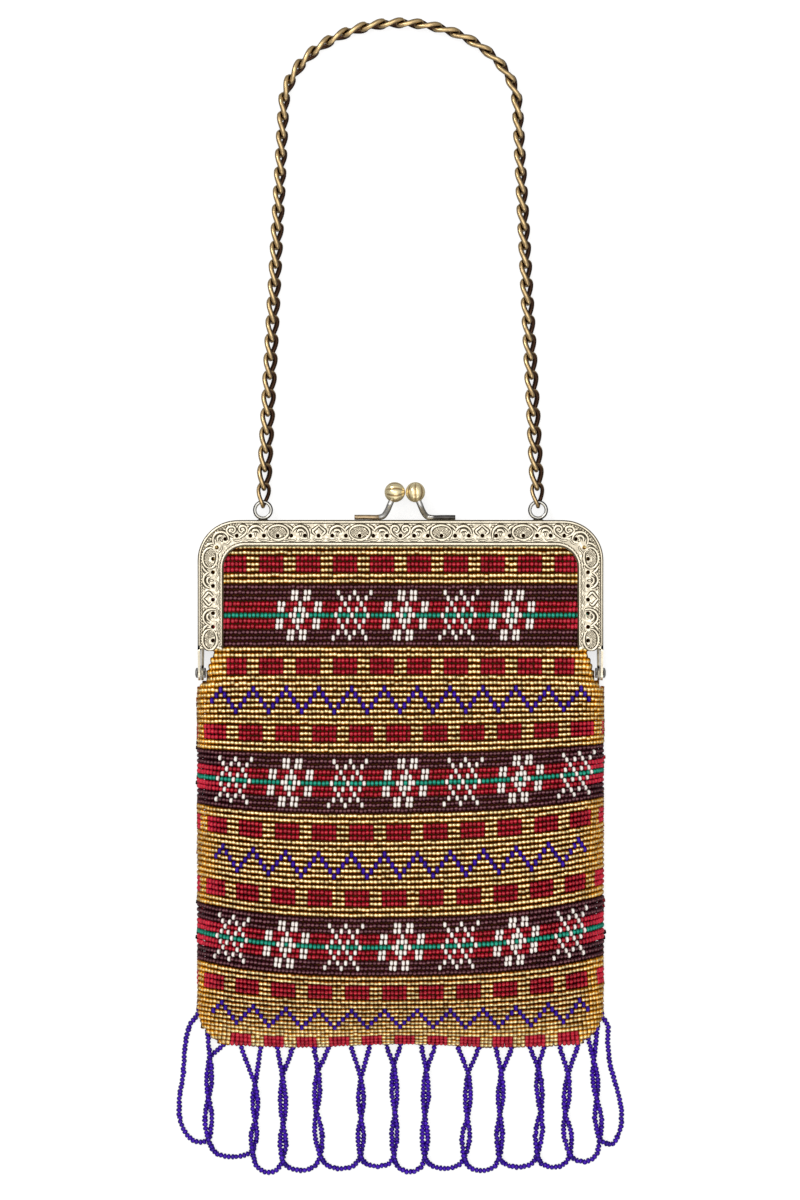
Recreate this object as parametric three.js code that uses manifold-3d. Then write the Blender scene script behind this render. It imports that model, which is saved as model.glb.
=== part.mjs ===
// A beaded frame bag, lying on its back: a hinged metal purse frame with a ball clasp and a chain handle, a
// lined pouch of bead-woven cloth, and a fringe of looped bead strands along the bottom seam.
// Millimetres. X runs across the bag, Y up towards the chain and Z up from the surface that the bag lies on.
// The origin is on that surface, midway between the two hinges.
import * as THREE from "three";
import { mergeVertices } from "three/addons/utils/BufferGeometryUtils.js";
import Module from "manifold-3d";

const wasm = await Module();
wasm.setup();

// Space left between pieces that touch
const CLEARANCE = 0.3;

// Purse frame: two halves of pressed sheet, each a flat U with a turned rim
const FRAME_WIDTH = 162;
const FRAME_HEIGHT = 61; // hinge line to top edge
const FRAME_DEPTH = 13; // both halves, shut
const FRAME_BAND = 9.7; // width of the U's plate
const FRAME_CORNER = 16; // outer corner radius
const INNER_CORNER = 9; // corner radius of the plate's inner edge
const FRAME_SHEET = 0.9;
const LEG_END = 9; // hinge line to the end of a leg's plate
const LEG_ARCH = 2.4; // height of the control point of the arch in a leg's end
const STRAP_OVERLAP = 4; // how far a hinge strap runs up into its leg
const EAR_RADIUS = 3;
const SEW_HOLE = 1.5;
const SEW_PITCH = 5.45;
const SEW_INSET = 6.1; // outer edge to the row of sewing holes
const CORNER_STEPS = 7; // facets of a corner
const HOLE_SIDES = 6;

// Hinge rivets
const RIVET_PIN = 1.6; // diameter
const RIVET_HEAD = 4.2;
const RIVET_OUTER_RISE = 1;
const RIVET_INNER_RISE = 0.6;
const RIVET_DOME = [0.8, 0.6]; // the shoulder of a head's dome, as shares of its radius and rise
const RIVET_SIDES = 8;

// Ball clasp: an arm on each half, each a foot on the top edge and a stem that curves up to a ball
const CLASP_SHIFT = 1.8; // the clasp's middle lies this far right of the frame's
const CLASP_BALL = 7.8; // diameter
const CLASP_BALL_GAP = 0.5; // between the two balls, shut
const CLASP_BALL_HEIGHT = 11.4; // top edge to a ball's centre
const CLASP_FOOT_START = 9.2; // clasp's middle to the foot's near end
const CLASP_FOOT_LENGTH = 11;
const CLASP_FOOT_WIDTH = 4;
const CLASP_FOOT_RISE = 2;
const CLASP_STEM = 2.2; // diameter
const CLASP_BEND = { across: 0.3, up: 0.45, out: 0.5 }; // shares of a stem's way to its ball, at its bend
const CLASP_STEM_HALF_SIDES = 3;
const CLASP_STEM_STEPS = 8;
const CLASP_BALL_FACETS = [14, 8]; // round the ball and from pole to pole

// Chain: twisted curb links between two eyes on the back half
const EYE_INSET = 25.8; // frame's side to an eye's centre
const EYE_DIAMETER = 8; // outside
const EYE_WIRE = 1.4;
const EYE_FACETS = [6, 14]; // round the wire and round the eye
const LINK_LENGTH = 9; // along the middle of the wire
const LINK_WIDTH = 4.6; // along the middle of the wire
const LINK_FULLNESS = 0.6; // 1 is an ellipse, less is a fuller oval
const LINK_WIRE = 1.7;
const LINK_TWIST = Math.PI / 2; // from one end of a link to the other
const LINK_WELD = 0.5; // how far the links of one run sink into each other
const LINK_STEPS = 8; // facets along the wire of a link
const LINK_SIDES = 4; // facets round it
const CHAIN_RUNS = 12;
const CHAIN_LEG = 159; // rise of each leg before the arch
const CHAIN_LEAN = 8.2; // how far each leg leans in from its eye
const CHAIN_ARCH_RISE = 35;
const LEG_STEPS = 8; // points along each leg of its middle line
const ARCH_STEPS = 10;

// Pouch of bead cloth
const POUCH_WIDTH = FRAME_WIDTH;
const POUCH_DROP = 150; // hinge line to the bottom seam
const POUCH_DEPTH = 27; // crown of the stuffed front above the surface
const POUCH_FULL = 92; // hinge line to the crown
const POUCH_FALL = 2.4; // exponent of the front's fall from its crown to the bottom seam
const POUCH_SEAM_FALL = 0.85; // the same near the seam; a smaller one is steeper there
const POUCH_CORNER = 16;
const POUCH_SQUARENESS = 4; // exponent of the rounding at the sides
const POUCH_NECK_SQUARENESS = 14; // the same at the frame, where the front is flatter
const CLOTH = 2.2; // thickness of the beadwork
const HEM = 0.8; // height of the front's edge above its seam
const TUCK = 4.5; // how far the cloth reaches under the frame's plate
const NECK_TUCK = 3.4; // the same at the end of a leg
const SHOULDER = 4; // length over which the cloth widens below the hinges
const ROW_PITCH = 2.28; // one row of beads
const ROW_GROOVE = 0.5; // depth of the groove between two rows
const SMOOTH_PITCH = 3.6; // facets down a curved face that has no rows
const FOLD_ROOM = 0.7; // room for the front to swing, above the lower front's edge
const UPPER_END = 2; // hinge line to the end of the cloth that swings with the front half
const LINING = 0.5;

// Fringe: bead strands in loops, twisted together in pairs
const STRAND = 1.8; // diameter
const STRAND_HALF_SIDES = 4; // half the facets of a strand
const STRAND_STEPS = 34;
const LENS_HALF = 1.05; // half the width of a pair between its upper and middle crossings
const SEAM_RISE = 1.2; // height at which a strand leaves the seam
const SEAM_GAP = 0.8; // seam to the end of a strand
const STRAND_LIFT = 0.25; // under a strand that lies on the surface

// Places on the fringe are distances across, for a pouch of the width given here, and down from the bottom seam
const FRINGE_WIDTH = 162;
// Each pair: where its two strands leave the seam, its upper, middle and lower crossings, and half its width
// between the last two
const PAIRS = [
  { left: -76.7, right: -71, upper: [-76.5, 4.5], middle: [-77.1, 20.8], lower: [-77.1, 37.3], open: 1.4 },
  { left: -63.8, right: -56.2, upper: [-58.4, 15.1], middle: [-58.3, 30.1], lower: [-59.4, 41.8], open: 1.1 },
  { left: -49.4, right: -43.4, upper: [-47.3, 12.1], middle: [-47.1, 31.3], lower: [-47.3, 45.6], open: 1.1 },
  { left: -34.6, right: -29, upper: [-33.1, 10.1], middle: [-33.8, 26.2], lower: [-32.2, 43.6], open: 1.5 },
  { left: -19.6, right: -12.6, upper: [-15.9, 12.7], middle: [-15.8, 28.9], lower: [-16, 43.9], open: 1.15 },
  { left: -5.3, right: -0.3, upper: [-2.7, 7.9], middle: [-2.2, 26.8], lower: [-2.6, 43.9], open: 1.05 },
  { left: 8.6, right: 13.6, upper: [10.4, 10], middle: [9.8, 28.6], lower: [9.8, 44.5], open: 1.1 },
  { left: 23.3, right: 31.4, upper: [27.3, 10.9], middle: [26.8, 29.2], lower: [25.7, 44.8], open: 1.5 },
  { left: 38.4, right: 44.6, upper: [40.5, 11.1], middle: [39.9, 27.7], lower: [39.7, 44.4], open: 1.1 },
  { left: 52.1, right: 57.5, upper: [55.3, 8.8], middle: [56.3, 25.9], lower: [54.9, 43.6], open: 1.3 },
  { left: 64.2, right: 71, upper: [67.3, 11.5], middle: [66.2, 27.7], lower: [68, 43.4], open: 1.5 },
  { left: 75, right: 78.3, upper: [77.7, 6], middle: [78.8, 21.3], lower: [80.1, 37.5], open: 1.25 },
];
// Lowest points of the loops between neighbouring pairs
const LOOP_BOTTOMS = [44.5, 50.8, 49.9, 49.3, 48.4, 50.7, 49.2, 50.1, 48.6, 48.7, 46.4];
// The outermost strands, from the sides of the seam down to the first and the last pair
const LEFT_START = -80.7;
const LEFT_STRAND = [
  [-84.6, -8.5], [-86.6, 1], [-87.3, 12], [-88.8, 21], [-88.4, 30], [-85, 36.4], [-81, 38.6],
];
const RIGHT_START = 80.4;
const RIGHT_STRAND = [
  [83.2, -8.5], [83.3, -1], [84.2, 7], [86.2, 14.5], [88.2, 22], [88.8, 28.5], [88, 34.5], [85.2, 39.2],
];

// Sizes that follow from those above
const HALF_WIDTH = FRAME_WIDTH / 2;
const MIDDLE = FRAME_DEPTH / 2; // height of the hinge line
const HALF_FRAME = MIDDLE - CLEARANCE / 2; // depth of one half
const INNER_EAR = HALF_WIDTH - 2 * FRAME_SHEET - CLEARANCE; // inner face of the back half's ears
const NECK_HALF = HALF_WIDTH - FRAME_BAND + NECK_TUCK;
const HINGE_HALF = INNER_EAR - RIVET_INNER_RISE - 2 * CLEARANCE; // cloth beside the rivets
const FRONT_FACE = FRAME_DEPTH - FRAME_SHEET - CLEARANCE; // outer face of the cloth inside the front half
const BACK_FACE = FRAME_SHEET + CLEARANCE; // outer face of the cloth inside the back half
const FOLD_END = -(FRONT_FACE - MIDDLE + FOLD_ROOM); // upper edge of the lower front
const SHOULDER_END = -EAR_RADIUS - CLEARANCE - SHOULDER; // the cloth has its full width from here down
const SEAM = CLOTH + CLEARANCE; // height at which the front meets the back
const LINING_SEAM = SEAM + LINING + CLEARANCE;
const EYE_SPREAD = HALF_WIDTH - EYE_INSET;
const CHAIN_ARCH_HALF = EYE_SPREAD - CHAIN_LEAN;
const EYE_HEIGHT = FRAME_HEIGHT + CLEARANCE + EYE_DIAMETER / 2;
const EYE_RADIUS = (EYE_DIAMETER - EYE_WIRE) / 2; // to the middle of the wire

// Materials
const finish = (color, roughness, metalness) =>
  new THREE.MeshStandardMaterial({ color, roughness, metalness });
const FRAME_METAL = finish(0xcdc4ac, 0.4, 1);
const RIVET_METAL = finish(0x6b6658, 0.45, 1);
const CLASP_METAL = finish(0x8a8478, 0.35, 1);
const BALL_METAL = finish(0xcbb67a, 0.3, 1);
const EYE_METAL = finish(0xd8d6cc, 0.3, 1);
const CHAIN_METAL = finish(0x8c6e46, 0.4, 1);
const BEADWORK = finish(0x9c6a24, 0.3, 0);
const LINING_CLOTH = finish(0x4a1a22, 0.7, 0);
const STRAND_GLASS = finish(0x3a12a0, 0.25, 0);

const bag = new THREE.Group();

function addPiece(name, geometry, material) {
  const mesh = new THREE.Mesh(geometry, material);
  mesh.name = name;
  bag.add(mesh);
}

// A closed geometry as a solid that can be joined and cut, and the way back.
function solidOf(geometry) {
  const bare = new THREE.BufferGeometry().setAttribute("position", geometry.getAttribute("position"));
  bare.setIndex(geometry.index);
  const merged = mergeVertices(bare);
  return new wasm.Manifold(
    new wasm.Mesh({
      numProp: 3,
      vertProperties: merged.getAttribute("position").array,
      triVerts: new Uint32Array(merged.index.array),
    }),
  );
}

function geometryOf(solid) {
  const mesh = solid.getMesh();
  return new THREE.BufferGeometry()
    .setAttribute("position", new THREE.BufferAttribute(mesh.vertProperties, 3))
    .setIndex(new THREE.BufferAttribute(mesh.triVerts, 1));
}

const join = (geometries) => geometryOf(geometries.map(solidOf).reduce((all, next) => all.add(next)));

const mix = THREE.MathUtils.lerp;
const eased = (t) => THREE.MathUtils.smoothstep(t, 0, 1);

// Purse frame

// Traces the frame's U, moved in from its outer edge, with corners of a given radius, from the left leg's foot to
// the right one's or back.
function traceU(path, inset, radius, foot, backwards) {
  const half = HALF_WIDTH - inset;
  const top = FRAME_HEIGHT - inset;
  const side = backwards ? 1 : -1;
  const [outside, upright] = backwards ? [0, Math.PI / 2] : [Math.PI, Math.PI / 2];
  path.absarc(side * (half - radius), top - radius, radius, outside, upright, !backwards);
  path.absarc(-side * (half - radius), top - radius, radius, upright, Math.PI - outside, !backwards);
  path.lineTo(-side * half, foot);
}

// The U of a given width, with inner corners of a given radius and an arch of a given height in each leg's end.
function bandShape(width, innerRadius, foot, arch) {
  const shape = new THREE.Shape();
  const middle = HALF_WIDTH - width / 2;
  shape.moveTo(-HALF_WIDTH, foot);
  traceU(shape, 0, FRAME_CORNER, foot, false);
  shape.quadraticCurveTo(middle, foot + arch, HALF_WIDTH - width, foot);
  traceU(shape, width, innerRadius, foot, true);
  shape.quadraticCurveTo(-middle, foot + arch, -HALF_WIDTH, foot);
  return shape;
}

const ORIGIN = new THREE.Vector2(0, 0);

function addSewingHoles(shape) {
  const line = new THREE.Path();
  const foot = LEG_END + LEG_ARCH + SEW_HOLE;
  line.moveTo(SEW_INSET - HALF_WIDTH, foot);
  traceU(line, SEW_INSET, FRAME_CORNER - SEW_INSET, foot, false);
  const count = Math.round(line.getLength() / SEW_PITCH);
  for (const place of line.getSpacedPoints(count)) {
    const corners = Array.from({ length: HOLE_SIDES }, (_, i) => {
      const corner = new THREE.Vector2(SEW_HOLE / 2, 0).rotateAround(ORIGIN, (2 * Math.PI * i) / HOLE_SIDES);
      return corner.add(place);
    });
    shape.holes.push(new THREE.Path(corners));
  }
}

function sheet(shape, depth, z) {
  const plate = new THREE.ExtrudeGeometry(shape, { depth, bevelEnabled: false, curveSegments: CORNER_STEPS });
  return plate.translate(0, 0, z);
}

// A strap from a leg down to its hinge ear, upright, with its inner face at a given x. Facing is 1 for the
// front half and -1 for the back half.
function hingeStrap(facing, innerFace) {
  const shape = new THREE.Shape();
  const start = LEG_END + STRAP_OVERLAP;
  shape.moveTo(start, MIDDLE + (facing * CLEARANCE) / 2);
  shape.lineTo(start, MIDDLE + facing * MIDDLE);
  shape.lineTo(LEG_END, MIDDLE + facing * MIDDLE);
  shape.lineTo(0, MIDDLE + facing * EAR_RADIUS);
  shape.absarc(0, MIDDLE, EAR_RADIUS, (facing * Math.PI) / 2, facing * 2 * Math.PI, facing < 0);
  shape.lineTo(EAR_RADIUS, MIDDLE + (facing * CLEARANCE) / 2);
  const bore = RIVET_PIN / 2 + CLEARANCE;
  shape.holes.push(new THREE.Path().absarc(0, MIDDLE, bore, 0, 2 * Math.PI));
  const upright = new THREE.Matrix4().makeBasis(
    new THREE.Vector3(0, 1, 0),
    new THREE.Vector3(0, 0, 1),
    new THREE.Vector3(1, 0, 0),
  );
  return sheet(shape, FRAME_SHEET, innerFace).applyMatrix4(upright);
}

function frameHalf(facing) {
  const plate = bandShape(FRAME_BAND, INNER_CORNER, LEG_END, LEG_ARCH);
  addSewingHoles(plate);
  const rim = bandShape(FRAME_SHEET, FRAME_CORNER - FRAME_SHEET, LEG_END, 0);
  const strapFace = facing > 0 ? HALF_WIDTH - FRAME_SHEET : INNER_EAR;
  return join([
    sheet(plate, FRAME_SHEET, facing > 0 ? FRAME_DEPTH - FRAME_SHEET : 0),
    sheet(rim, HALF_FRAME, facing > 0 ? FRAME_DEPTH - HALF_FRAME : 0),
    hingeStrap(facing, strapFace),
    hingeStrap(facing, -strapFace - FRAME_SHEET),
  ]);
}

// A rivet through both ears of one side, with a domed head outside and a flat one inside.
function hingeRivet(side) {
  const pin = RIVET_PIN / 2;
  const head = RIVET_HEAD / 2;
  const inner = INNER_EAR - CLEARANCE;
  const outer = HALF_WIDTH + CLEARANCE;
  const profile = [
    [0, inner - RIVET_INNER_RISE],
    [head, inner - RIVET_INNER_RISE],
    [head, inner],
    [pin, inner],
    [pin, outer],
    [head, outer],
    [head * RIVET_DOME[0], outer + RIVET_OUTER_RISE * RIVET_DOME[1]],
    [0, outer + RIVET_OUTER_RISE],
  ];
  const points = profile.map(([radius, along]) => new THREE.Vector2(radius, along));
  return new THREE.LatheGeometry(points, RIVET_SIDES).rotateZ((-side * Math.PI) / 2).translate(0, 0, MIDDLE);
}

addPiece("frame_back", frameHalf(-1), FRAME_METAL);
addPiece("frame_front", frameHalf(1), FRAME_METAL);
addPiece("hinge_rivet_left", hingeRivet(-1), RIVET_METAL);
addPiece("hinge_rivet_right", hingeRivet(1), RIVET_METAL);

// Ball clasp

const vector = (x, y, z) => new THREE.Vector3(x, y, z);

// A round bar along a line through some points, with flat ends.
function bar(points, diameter, halfSides, steps) {
  const section = new THREE.Shape().absarc(0, 0, diameter / 2, 0, 2 * Math.PI);
  const extrudePath = new THREE.CatmullRomCurve3(points);
  return new THREE.ExtrudeGeometry(section, { steps, extrudePath, curveSegments: halfSides });
}

const BALL_SPREAD = (CLASP_BALL + CLASP_BALL_GAP) / 2; // clasp's middle to a ball's centre
const BALL_HEIGHT = FRAME_HEIGHT + CLASP_BALL_HEIGHT;

// An arm on one side of the clasp's middle, on the half of the frame that faces the same way.
function claspArm(side, facing) {
  const seat = FRAME_HEIGHT + CLEARANCE;
  const z = MIDDLE + (facing * MIDDLE) / 2;
  const x = (distance) => CLASP_SHIFT + side * distance;
  const foot = new THREE.BoxGeometry(CLASP_FOOT_LENGTH, CLASP_FOOT_RISE, CLASP_FOOT_WIDTH);
  foot.translate(x(CLASP_FOOT_START + CLASP_FOOT_LENGTH / 2), seat + CLASP_FOOT_RISE / 2, z);
  const stemEnd = BALL_HEIGHT - CLASP_BALL / 2 - CLEARANCE;
  const root = seat + CLASP_STEM / 2;
  const stem = bar(
    [
      vector(x(CLASP_FOOT_START + CLASP_STEM), root, z),
      vector(x(CLASP_FOOT_START - CLASP_STEM / 2), root, z),
      vector(
        x(mix(BALL_SPREAD, CLASP_FOOT_START, CLASP_BEND.across)),
        mix(root, stemEnd, CLASP_BEND.up),
        mix(MIDDLE, z, CLASP_BEND.out),
      ),
      vector(x(BALL_SPREAD), stemEnd, MIDDLE),
    ],
    CLASP_STEM,
    CLASP_STEM_HALF_SIDES,
    CLASP_STEM_STEPS,
  );
  return join([foot, stem]);
}

function claspBall(side) {
  const ball = new THREE.SphereGeometry(CLASP_BALL / 2, ...CLASP_BALL_FACETS);
  return ball.translate(CLASP_SHIFT + side * BALL_SPREAD, BALL_HEIGHT, MIDDLE);
}

addPiece("clasp_arm_front", claspArm(-1, 1), CLASP_METAL);
addPiece("clasp_ball_front", claspBall(-1), BALL_METAL);
addPiece("clasp_arm_back", claspArm(1, -1), CLASP_METAL);
addPiece("clasp_ball_back", claspBall(1), BALL_METAL);

// Chain

function chainEye(side) {
  const ring = new THREE.TorusGeometry(EYE_RADIUS, EYE_WIRE / 2, ...EYE_FACETS);
  return ring.translate(side * EYE_SPREAD, EYE_HEIGHT, MIDDLE / 2);
}

addPiece("chain_eye_left", chainEye(-1), EYE_METAL);
addPiece("chain_eye_right", chainEye(1), EYE_METAL);

// The middle line of the chain, from inside the left eye over the arch to inside the right one.
function chainLine() {
  const start = EYE_HEIGHT + EYE_RADIUS - EYE_WIRE / 2 - LINK_WIRE / 2 - CLEARANCE;
  const arch = start + CHAIN_LEG;
  const leg = [];
  for (let i = 0; i < LEG_STEPS; i++) {
    const walked = (CHAIN_LEG * i) / LEG_STEPS;
    leg.push(vector(mix(EYE_SPREAD, CHAIN_ARCH_HALF, i / LEG_STEPS), start + walked, MIDDLE / 2));
  }
  const points = [];
  leg.forEach((p) => points.push(vector(-p.x, p.y, p.z)));
  for (let i = 0; i <= ARCH_STEPS; i++) {
    const turn = (Math.PI * i) / ARCH_STEPS;
    const x = -CHAIN_ARCH_HALF * Math.cos(turn);
    points.push(vector(x, arch + CHAIN_ARCH_RISE * Math.sin(turn), MIDDLE / 2));
  }
  leg.reverse().forEach((p) => points.push(p));
  return new THREE.CatmullRomCurve3(points);
}

// One twisted link, as a closed tube, rolled about the chain. Its two ends may reach differently far.
function chainLink(place, along, roll, backEnd, frontEnd) {
  const left = vector(0, 0, 1).cross(along).normalize();
  const up = along.clone().cross(left);
  const middles = [];
  for (let i = 0; i < LINK_STEPS; i++) {
    const turn = (2 * Math.PI * i) / LINK_STEPS;
    const reach = Math.cos(turn);
    const width = (LINK_WIDTH / 2) * Math.sign(Math.sin(turn)) * Math.abs(Math.sin(turn)) ** LINK_FULLNESS;
    const twist = roll - (LINK_TWIST / 2) * reach;
    const p = place.clone().addScaledVector(along, reach * (reach > 0 ? frontEnd : backEnd));
    p.addScaledVector(left, width * Math.cos(twist)).addScaledVector(up, width * Math.sin(twist));
    middles.push(p);
  }
  const positions = [];
  const faces = [];
  middles.forEach((p, i) => {
    const next = (i + 1) % LINK_STEPS;
    const tangent = middles[next].clone().sub(middles[(i + LINK_STEPS - 1) % LINK_STEPS]).normalize();
    const outward = p.clone().sub(place);
    outward.addScaledVector(tangent, -outward.dot(tangent)).normalize();
    const across = tangent.clone().cross(outward);
    for (let k = 0; k < LINK_SIDES; k++) {
      const angle = (2 * Math.PI * k) / LINK_SIDES;
      const v = p.clone().addScaledVector(outward, (LINK_WIRE / 2) * Math.cos(angle));
      v.addScaledVector(across, (LINK_WIRE / 2) * Math.sin(angle));
      positions.push(v.x, v.y, v.z);
      const corner = (step, side) => step * LINK_SIDES + (side % LINK_SIDES);
      faces.push(corner(i, k), corner(i, k + 1), corner(next, k + 1));
      faces.push(corner(i, k), corner(next, k + 1), corner(next, k));
    }
  });
  const link = new THREE.BufferGeometry().setIndex(faces);
  return link.setAttribute("position", new THREE.Float32BufferAttribute(positions, 3));
}

// How far a link is rolled. The chain turns slowly about itself, and its end links stand edge-on in the eyes.
function linkRoll(number, count) {
  return mix(LINK_TWIST / 2, Math.PI - LINK_TWIST / 2, number / (count - 1));
}

// The chain as runs of links. The links of a run are joined where they meet, and neighbouring runs are linked
// with clearance.
function addChain() {
  const line = chainLine();
  const length = line.getLength();
  const wanted = (length - LINK_LENGTH) / (LINK_LENGTH - LINK_WIRE) + 1;
  const perRun = Math.round(wanted / CHAIN_RUNS);
  const count = perRun * CHAIN_RUNS;
  const pitch = (length - LINK_LENGTH) / (count - 1);
  const joined = (pitch + LINK_WIRE - LINK_WELD) / 2;
  const free = (pitch + LINK_WIRE) / 2 + CLEARANCE;
  for (let run = 0; run < CHAIN_RUNS; run++) {
    const links = [];
    for (let i = 0; i < perRun; i++) {
      const number = run * perRun + i;
      const at = (LINK_LENGTH / 2 + number * pitch) / length;
      const roll = linkRoll(number, count);
      const backEnd = i === 0 ? free : joined;
      const frontEnd = i === perRun - 1 ? free : joined;
      links.push(chainLink(line.getPointAt(at), line.getTangentAt(at), roll, backEnd, frontEnd));
    }
    addPiece("chain_run_" + String(run + 1).padStart(2, "0"), join(links), CHAIN_METAL);
  }
}

addChain();

// Pouch

// Half the width of the cloth inside the frame and beside the hinges.
function neckHalf(y) {
  const half = HALF_WIDTH - FRAME_BAND + TUCK;
  const radius = FRAME_CORNER - FRAME_BAND + TUCK;
  const cornerStart = FRAME_HEIGHT - FRAME_BAND + TUCK - radius;
  if (y > cornerStart) {
    return half - radius + Math.sqrt(Math.max(0, radius ** 2 - (y - cornerStart) ** 2));
  }
  if (y >= LEG_END) {
    return half;
  }
  return mix(HINGE_HALF, NECK_HALF, THREE.MathUtils.clamp(y / (LEG_END - CLEARANCE), 0, 1));
}

// Half the width of the pouch below the hinges, moved in by an inset.
function pouchHalf(y, inset) {
  const radius = POUCH_CORNER - inset;
  const cornerStart = POUCH_CORNER - POUCH_DROP;
  if (y < cornerStart) {
    return POUCH_WIDTH / 2 - POUCH_CORNER + Math.sqrt(Math.max(0, radius ** 2 - (cornerStart - y) ** 2));
  }
  const below = THREE.MathUtils.clamp((-EAR_RADIUS - CLEARANCE - y) / SHOULDER, 0, 1);
  return mix(HINGE_HALF, POUCH_WIDTH / 2, eased(below)) - inset;
}

// Height of the pouch's front along its middle, moved in by an inset, above a seam.
function crown(y, inset, seam) {
  const full = POUCH_DEPTH - inset;
  if (y > -POUCH_FULL) {
    return mix(FRONT_FACE - inset, full, eased(-y / POUCH_FULL));
  }
  const down = (-y - POUCH_FULL) / (POUCH_DROP - inset - POUCH_FULL);
  return seam + (full - seam) * Math.max(0, 1 - down ** POUCH_FALL) ** POUCH_SEAM_FALL;
}

// Height of the front at a share of its half width.
function frontHeight(share, y, inset, seam) {
  const toFull = eased(-y / POUCH_FULL);
  const squareness = mix(POUCH_NECK_SQUARENESS, POUCH_SQUARENESS, toFull);
  return seam + (crown(y, inset, seam) - seam) * Math.sqrt(1 - Math.abs(share) ** squareness);
}

// Places down the front from the fold to the bottom seam, evenly spaced along its curved middle line.
function frontLines(inset, seam, spacing) {
  const end = inset - POUCH_DROP;
  const samples = 2000;
  // Samples crowd towards the seam, where the front turns steeply down.
  const place = (i) => mix(end, FOLD_END, (1 - i / samples) ** 2);
  const walked = [0];
  for (let i = 1; i <= samples; i++) {
    const rise = crown(place(i), inset, seam) - crown(place(i - 1), inset, seam);
    walked.push(walked[i - 1] + Math.hypot(place(i) - place(i - 1), rise));
  }
  const count = Math.round(walked[samples] / spacing);
  const lines = [FOLD_END];
  for (let n = 1, i = 0; n < count; n++) {
    while (walked[i] < (walked[samples] * n) / count) {
      i++;
    }
    lines.push(place(i));
  }
  return [...lines, end];
}

const SHARES = [-1, -0.95, -0.8, -0.4, 0.4, 0.8, 0.95, 1];

// A solid mound under the front, from a floor up to the front moved in by an inset, with a groove between
// neighbouring lines where one is asked for.
function frontMound({ inset, seam, edge, floor, lines, groove }) {
  const columns = SHARES.length;
  const positions = [];
  const outline = [];
  lines.forEach((y, row) => {
    const half = pouchHalf(y, inset);
    SHARES.forEach((share) => {
      const height = frontHeight(share, y, inset, seam);
      const sunk = row % 2 === 1 ? (groove * (height - seam)) / (crown(y, inset, seam) - seam || 1) : 0;
      positions.push(share * half, y, Math.max(height - sunk, seam + edge));
    });
  });
  const at = (row, column) => row * columns + column;
  const last = lines.length - 1;
  const faces = [];
  for (let row = 0; row < last; row++) {
    for (let c = 0; c < columns - 1; c++) {
      faces.push(at(row, c), at(row + 1, c), at(row + 1, c + 1));
      faces.push(at(row, c), at(row + 1, c + 1), at(row, c + 1));
    }
  }
  for (let row = 0; row <= last; row++) {
    outline.push(at(row, 0));
  }
  for (let c = 1; c < columns; c++) {
    outline.push(at(last, c));
  }
  for (let row = last - 1; row >= 0; row--) {
    outline.push(at(row, columns - 1));
  }
  for (let c = columns - 2; c > 0; c--) {
    outline.push(at(0, c));
  }
  const base = positions.length / 3;
  outline.forEach((index) => positions.push(positions[3 * index], positions[3 * index + 1], floor));
  outline.forEach((index, i) => {
    const next = (i + 1) % outline.length;
    faces.push(index, base + i, outline[next]);
    faces.push(outline[next], base + i, base + next);
  });
  const flat = outline.map((index) => new THREE.Vector2(positions[3 * index], positions[3 * index + 1]));
  THREE.ShapeUtils.triangulateShape(flat, []).forEach(([a, b, c]) => {
    faces.push(base + c, base + b, base + a);
  });
  const mound = new THREE.BufferGeometry().setIndex(faces);
  return mound.setAttribute("position", new THREE.Float32BufferAttribute(positions, 3));
}

// The lower front as a shell of a given thickness, open at the seam plane and at the fold.
function frontShell({ inset, thickness, seam, edge, spacing, groove }) {
  const outer = { inset, seam, edge, floor: seam, lines: frontLines(inset, seam, spacing), groove };
  const inner = inset + thickness;
  const hollowLines = frontLines(inner, seam, SMOOTH_PITCH);
  hollowLines.splice(0, 1, FOLD_END + CLOTH, SHOULDER_END);
  const hollow = { inset: inner, seam, edge: 0, floor: seam - CLOTH, lines: hollowLines, groove: 0 };
  return geometryOf(solidOf(frontMound(outer)).subtract(solidOf(frontMound(hollow))));
}

// A flat slab of cloth through lines across it, each with a place, a half width and a lower and upper height.
function slab(lines) {
  const positions = [];
  const faces = [];
  lines.forEach(({ y, half, low, high }) => {
    positions.push(-half, y, low, half, y, low, half, y, high, -half, y, high);
  });
  for (let row = 0; row < lines.length - 1; row++) {
    const a = 4 * row;
    for (let k = 0; k < 4; k++) {
      const next = (k + 1) % 4;
      faces.push(a + k, a + next, a + 4 + next);
      faces.push(a + k, a + 4 + next, a + 4 + k);
    }
  }
  const end = 4 * (lines.length - 1);
  faces.push(0, 2, 1, 0, 3, 2, end, end + 1, end + 2, end, end + 2, end + 3);
  const cloth = new THREE.BufferGeometry().setIndex(faces);
  return cloth.setAttribute("position", new THREE.Float32BufferAttribute(positions, 3));
}

const CLOTH_TOP = FRAME_HEIGHT - FRAME_BAND + TUCK;

// Lines from one place down to another, one at each end and the rest no further apart than the spacing.
function linesBetween(start, end, spacing) {
  const count = Math.ceil(Math.abs(start - end) / spacing);
  return Array.from({ length: count + 1 }, (_, i) => mix(start, end, i / count));
}

// The upper front: rows of beads from under the top of the frame to just above the hinge line.
function upperFront() {
  const lines = linesBetween(CLOTH_TOP, UPPER_END, ROW_PITCH / 2).map((y, row) => ({
    y,
    half: neckHalf(y),
    low: FRONT_FACE - CLOTH,
    high: FRONT_FACE - (row % 2 === 1 ? ROW_GROOVE : 0),
  }));
  return slab(lines);
}

// The strip of the front that bends at the hinge line when the frame opens.
function frontFold() {
  const lines = linesBetween(UPPER_END - CLEARANCE, FOLD_END + CLEARANCE, ROW_PITCH / 2).map((y, row) => ({
    y,
    half: backHalf(y, 0),
    low: crown(Math.min(y, 0), 0, SEAM) - CLOTH,
    high: crown(Math.min(y, 0), 0, SEAM) - (row % 2 === 1 ? ROW_GROOVE : 0),
  }));
  return slab(lines);
}

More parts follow.
